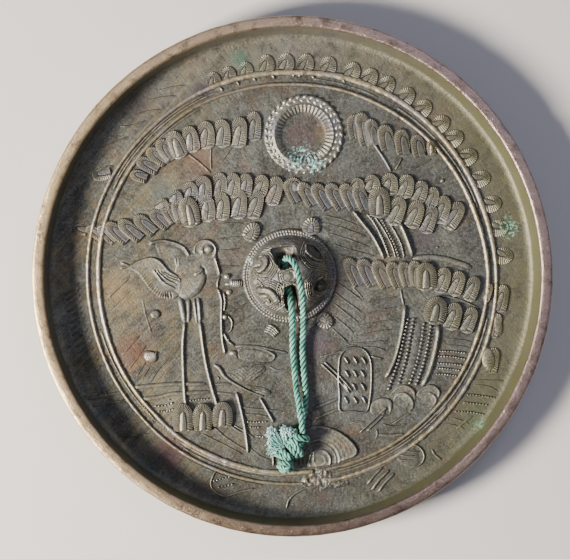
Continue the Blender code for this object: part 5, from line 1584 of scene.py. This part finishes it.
# %% The plaque
PLAQUE_FRAME = [(10.0, -18.5), (9.9, -22.0), (10.1, -25.5), (10.25, -28.7), (13.0, -28.85),
                (15.8, -28.9), (16.6, -26.0), (16.9, -22.0), (16.7, -18.0), (15.4, -15.8),
                (13.4, -15.25), (11.4, -15.7), (10.3, -17.0)]
plaque = bmesh.new()
ridge(plaque, PLAQUE_FRAME, 0.5, 0.42, pitch=0.4, closed=True)
for row in range(4):
    y = -18.0 - 2.8 * row
    for column in range(3):
        x = 11.6 + 1.8 * column + 0.15 * math.sin(2.0 * row + column)
        ridge(plaque, [(x - 0.5, y + 0.85), (x, y), (x + 0.5, y - 0.85)], 0.55, 0.5, pitch=0.25)
for shift in (0.0, 0.62):
    ridge(plaque, [(6.2 + shift, -18.7 + 0.7 * shift), (9.6 + shift, -21.9 + 0.7 * shift),
                   (12.4 + 0.7 * shift, -25.0 + 0.9 * shift)], 0.45, 0.42, pitch=0.4)
ridge(plaque, [(6.6, -17.6), (9.2, -16.0), (12.0, -14.9), (13.8, -14.8)], 0.4, 0.22, pitch=0.5)
ridge(plaque, [(15.4, -15.2), (17.6, -15.2), (20.0, -15.9)], 0.45, 0.24, pitch=0.5)
ridge(plaque, [(16.8, -17.1), (18.0, -17.4), (19.4, -17.7)], 0.6, 0.35, pitch=0.4)
finish_piece("plaque", plaque, bronze)

# %% [markdown]
# ## Rocks, flowers and the shell-shaped stone
# The shore is made of low rounded plates whose upper right edges stand up, with arcs inside
# them. Between the ring lines at the bottom the casting has a coarse lumpy patch, where the
# mould broke away a little.

# %% Rocks and the shore
ROCKS = [  # outline, direction of the high edge, low and high edge, power of the slope
    ([(20.5, -26.0), (22.2, -23.7), (24.1, -23.1), (26.1, -24.2), (26.5, -26.2),
      (25.6, -28.4), (22.6, -28.6), (20.6, -27.6)], 70, -0.15, 0.42, 1.5),
    ([(21.6, -26.2), (22.5, -25.0), (24.1, -24.7), (25.9, -26.4), (25.8, -28.6),
      (23.4, -29.4), (21.8, -28.2)], 60, -0.15, 0.55, 1.5),
    ([(26.6, -25.0), (28.2, -23.5), (29.7, -23.0), (31.4, -24.0), (31.6, -25.6),
      (30.0, -27.4), (27.4, -27.8)], 70, -0.05, 0.42, 1.0),
    ([(26.3, -25.6), (28.4, -24.6), (30.0, -24.9), (31.1, -26.3), (30.0, -28.4),
      (27.6, -29.2), (26.2, -27.6)], 60, -0.15, 0.55, 1.5)]


def shore_height(x, y):
    rocks = [slab(x, y, *rock, power=power) for *rock, power in ROCKS]
    flower = slab(x, y, [(16.6, -28.6), (17.0, -26.9), (18.4, -26.0), (20.2, -25.9),
                         (21.4, -26.8), (21.3, -28.6), (20.4, -30.0), (18.6, -29.4),
                         (17.2, -29.6)], 65, 0.18, 0.44, edge=0.6)
    hole = np.hypot((x - 20.4) / 0.8, (y + 28.7) / 1.5)
    flower -= 0.5 * bump_at(hole, 1.2) * (flower > 0)
    return np.maximum.reduce([*rocks, flower])


shore = carved((16.0, -30.4, 32.2, -22.4), 0.15, shore_height)
ridges(shore, [
    (0.35, 0.5, [(20.2, -28.0), (17.4, -30.6), (14.4, -33.4)]),
    (0.35, 0.45, [(19.6, -29.6), (17.8, -31.3), (15.9, -33.1)]),
    (0.4, 0.3, [(25.2, -29.3), (23.6, -30.2), (21.4, -31.6)]),
    (0.3, 0.25, [(23.8, -29.4), (22.4, -30.4), (20.9, -31.2)]),
    (0.35, 0.25, [(18.1, -32.9), (18.0, -34.0)]),
    (0.7, 0.25, [(18.5, -33.9), (20.6, -34.1), (22.6, -34.1)]),
    (0.5, 0.22, [(15.6, -31.2), (14.0, -31.0), (12.4, -31.4)])], pitch=0.4)
finish_piece("shore_rocks", shore, bronze, sharp=60.0)


# %% The shell-shaped stone and the lumpy patch
def stone_height(x, y):
    fan = slab(x, y, [(2.2, -33.4), (4.0, -32.0), (6.2, -31.8), (9.0, -32.5), (11.5, -34.0),
                      (13.4, -35.8), (14.1, -37.4), (13.3, -38.6), (10.5, -39.6), (8.0, -40.3),
                      (4.6, -40.7), (1.6, -40.4), (1.0, -37.6)], 48, 0.04, 0.50, lip=0.10, edge=0.3)
    far = np.hypot(x - 5.9, y + 39.3)
    inner = np.clip((4.6 - far) / 0.4, 0, 1) * (y > -40.4)
    fan = np.where(far < 4.6, np.minimum(fan, 0.16 + 0.30 * (1 - inner)), fan)
    fan += np.where(far < 2.5, 0.22 * np.sqrt(np.clip(1 - (far / 2.5) ** 2, 0, 1)), 0.0) * (fan > 0)
    for radius, tall in ((7.6, 0.02), (6.8, 0.03), (6.0, 0.03), (5.1, 0.05), (4.2, 0.24),
                         (3.5, 0.10), (2.3, 0.22), (1.2, 0.08)):
        fan += tall * bump_at(far - radius, 0.36) * (fan > 0)
    for bx, by in ((2.8, -38.8), (3.9, -38.1), (4.7, -38.2)):
        fan += 0.26 * bump_at(x - bx - 0.12 * (y - by), 0.36) * bump_at(y - by, 2.2) * (fan > 0)
    patch = inside_distance(x, y, [(2.0, -43.0), (3.9, -41.0), (5.4, -40.3), (7.6, -40.8),
                                   (9.2, -42.2), (11.8, -43.0), (12.4, -44.4), (9.0, -45.4),
                                   (5.0, -45.9), (2.4, -45.0)])
    lumps = np.array([0.35 * noise.noise(Vector((u * 1.3, v * 1.0, 2.0)))
                      + 0.40 * abs(noise.noise(Vector((u * 2.6, v * 2.2, 8.0))))
                      for u, v in zip(x, y)])
    lumpy = np.where(patch > 0, (0.12 + 0.9 * lumps) * np.clip(patch / 0.9, 0, 1), -0.4)
    return np.maximum(fan, lumpy)


stone = carved((0.6, -46.2, 14.8, -31.2), 0.15, stone_height)
finish_piece("shell_shaped_stone", stone, bronze, sharp=60.0)

# %% Small stones
small = bmesh.new()
for x, y, half_x, half_y, turn, height in ((-29.1, -8.1, 1.1, 1.0, 0, 0.55),
                                           (-30.1, -17.1, 1.6, 1.25, -30, 0.5),
                                           (24.6, -38.3, 3.1, 2.3, -35, 0.16),
                                           (41.9, -17.6, 1.6, 2.7, 12, 0.5),
                                           (44.0, -10.3, 1.0, 2.6, 8, 0.35)):
    count = 20
    wobble = [1.0 + 0.12 * noise.noise(Vector((x, y, 0.9 * k))) for k in range(count)]
    rings = []
    for share, rise in ((1.0, -SINK), (1.0, 0.15), (0.9, 0.65), (0.72, 0.9), (0.4, 1.0), (0.12, 1.02)):
        ring = []
        for k in range(count):
            a = 2 * math.pi * k / count
            u, v = half_x * share * wobble[k] * math.cos(a), half_y * share * wobble[k] * math.sin(a)
            c, s = math.cos(math.radians(turn)), math.sin(math.radians(turn))
            ring.append((x + u * c - v * s, y + u * s + v * c,
                         GROUND + (rise * height if rise > 0 else rise)))
        rings.append(ring)
    stamp(small, tower(rings))
for k in range(5):
    ridge(small, [(-31.2 + 0.45 * k, -17.9 + 0.1 * k), (-30.6 + 0.45 * k, -16.4 + 0.1 * k)],
          0.26, 0.62, pitch=0.3)
for k in range(6):
    ridge(small, [(40.9 + 0.1 * k, -19.6 + 0.7 * k), (42.9 + 0.1 * k, -19.2 + 0.7 * k)], 0.3,
          0.62, pitch=0.4)
finish_piece("small_stones", small, bronze)

# %% [markdown]
# ## The floor and the lamps
# The mirror lies on plain pale paper. A small lamp stands low at the left, so that every low line
# gets a bright side and a short shadow, and the tall rim throws a dark band on the ground beside
# it. A large weak lamp at the other side and a grey sky keep the shadows open.

# %% The stage
plane = bmesh.new()
bmesh.ops.create_grid(plane, x_segments=1, y_segments=1, size=2.0)
floor = as_object("floor", plane)
floor.location.z = -0.00003
paper, tree, shader = new_material("pale_paper_floor")
shader.inputs["Base Color"].default_value = linear("#DCD9D3")
shader.inputs["Roughness"].default_value = 0.9
floor.data.materials.append(paper)

# %% The lamps
world = bpy.data.worlds.new("studio")
world.use_nodes = True
world.node_tree.nodes["Background"].inputs["Color"].default_value = linear("#B9BCC8")
world.node_tree.nodes["Background"].inputs["Strength"].default_value = 0.25
scene.world = world


def area_light(name, azimuth, elevation, distance, size, watts, colour):
    """A soft square lamp that faces the middle of the mirror."""
    data = bpy.data.lights.new(name, "AREA")
    data.energy, data.size, data.color = watts, size, linear(colour)[:3]
    lamp = bpy.data.objects.new(name, data)
    a, e = math.radians(azimuth), math.radians(elevation)
    lamp.location = distance * Vector((math.cos(a) * math.cos(e), math.sin(a) * math.cos(e),
                                       math.sin(e)))
    lamp.rotation_euler = (-lamp.location).to_track_quat("-Z", "Y").to_euler()
    scene.collection.objects.link(lamp)


area_light("key", 198.0, 34.5, 0.58, 0.15, 11.4, "#FFF7EE")
area_light("fill", 50.0, 58.0, 1.0, 0.6, 2.5, "#D8DCFF")
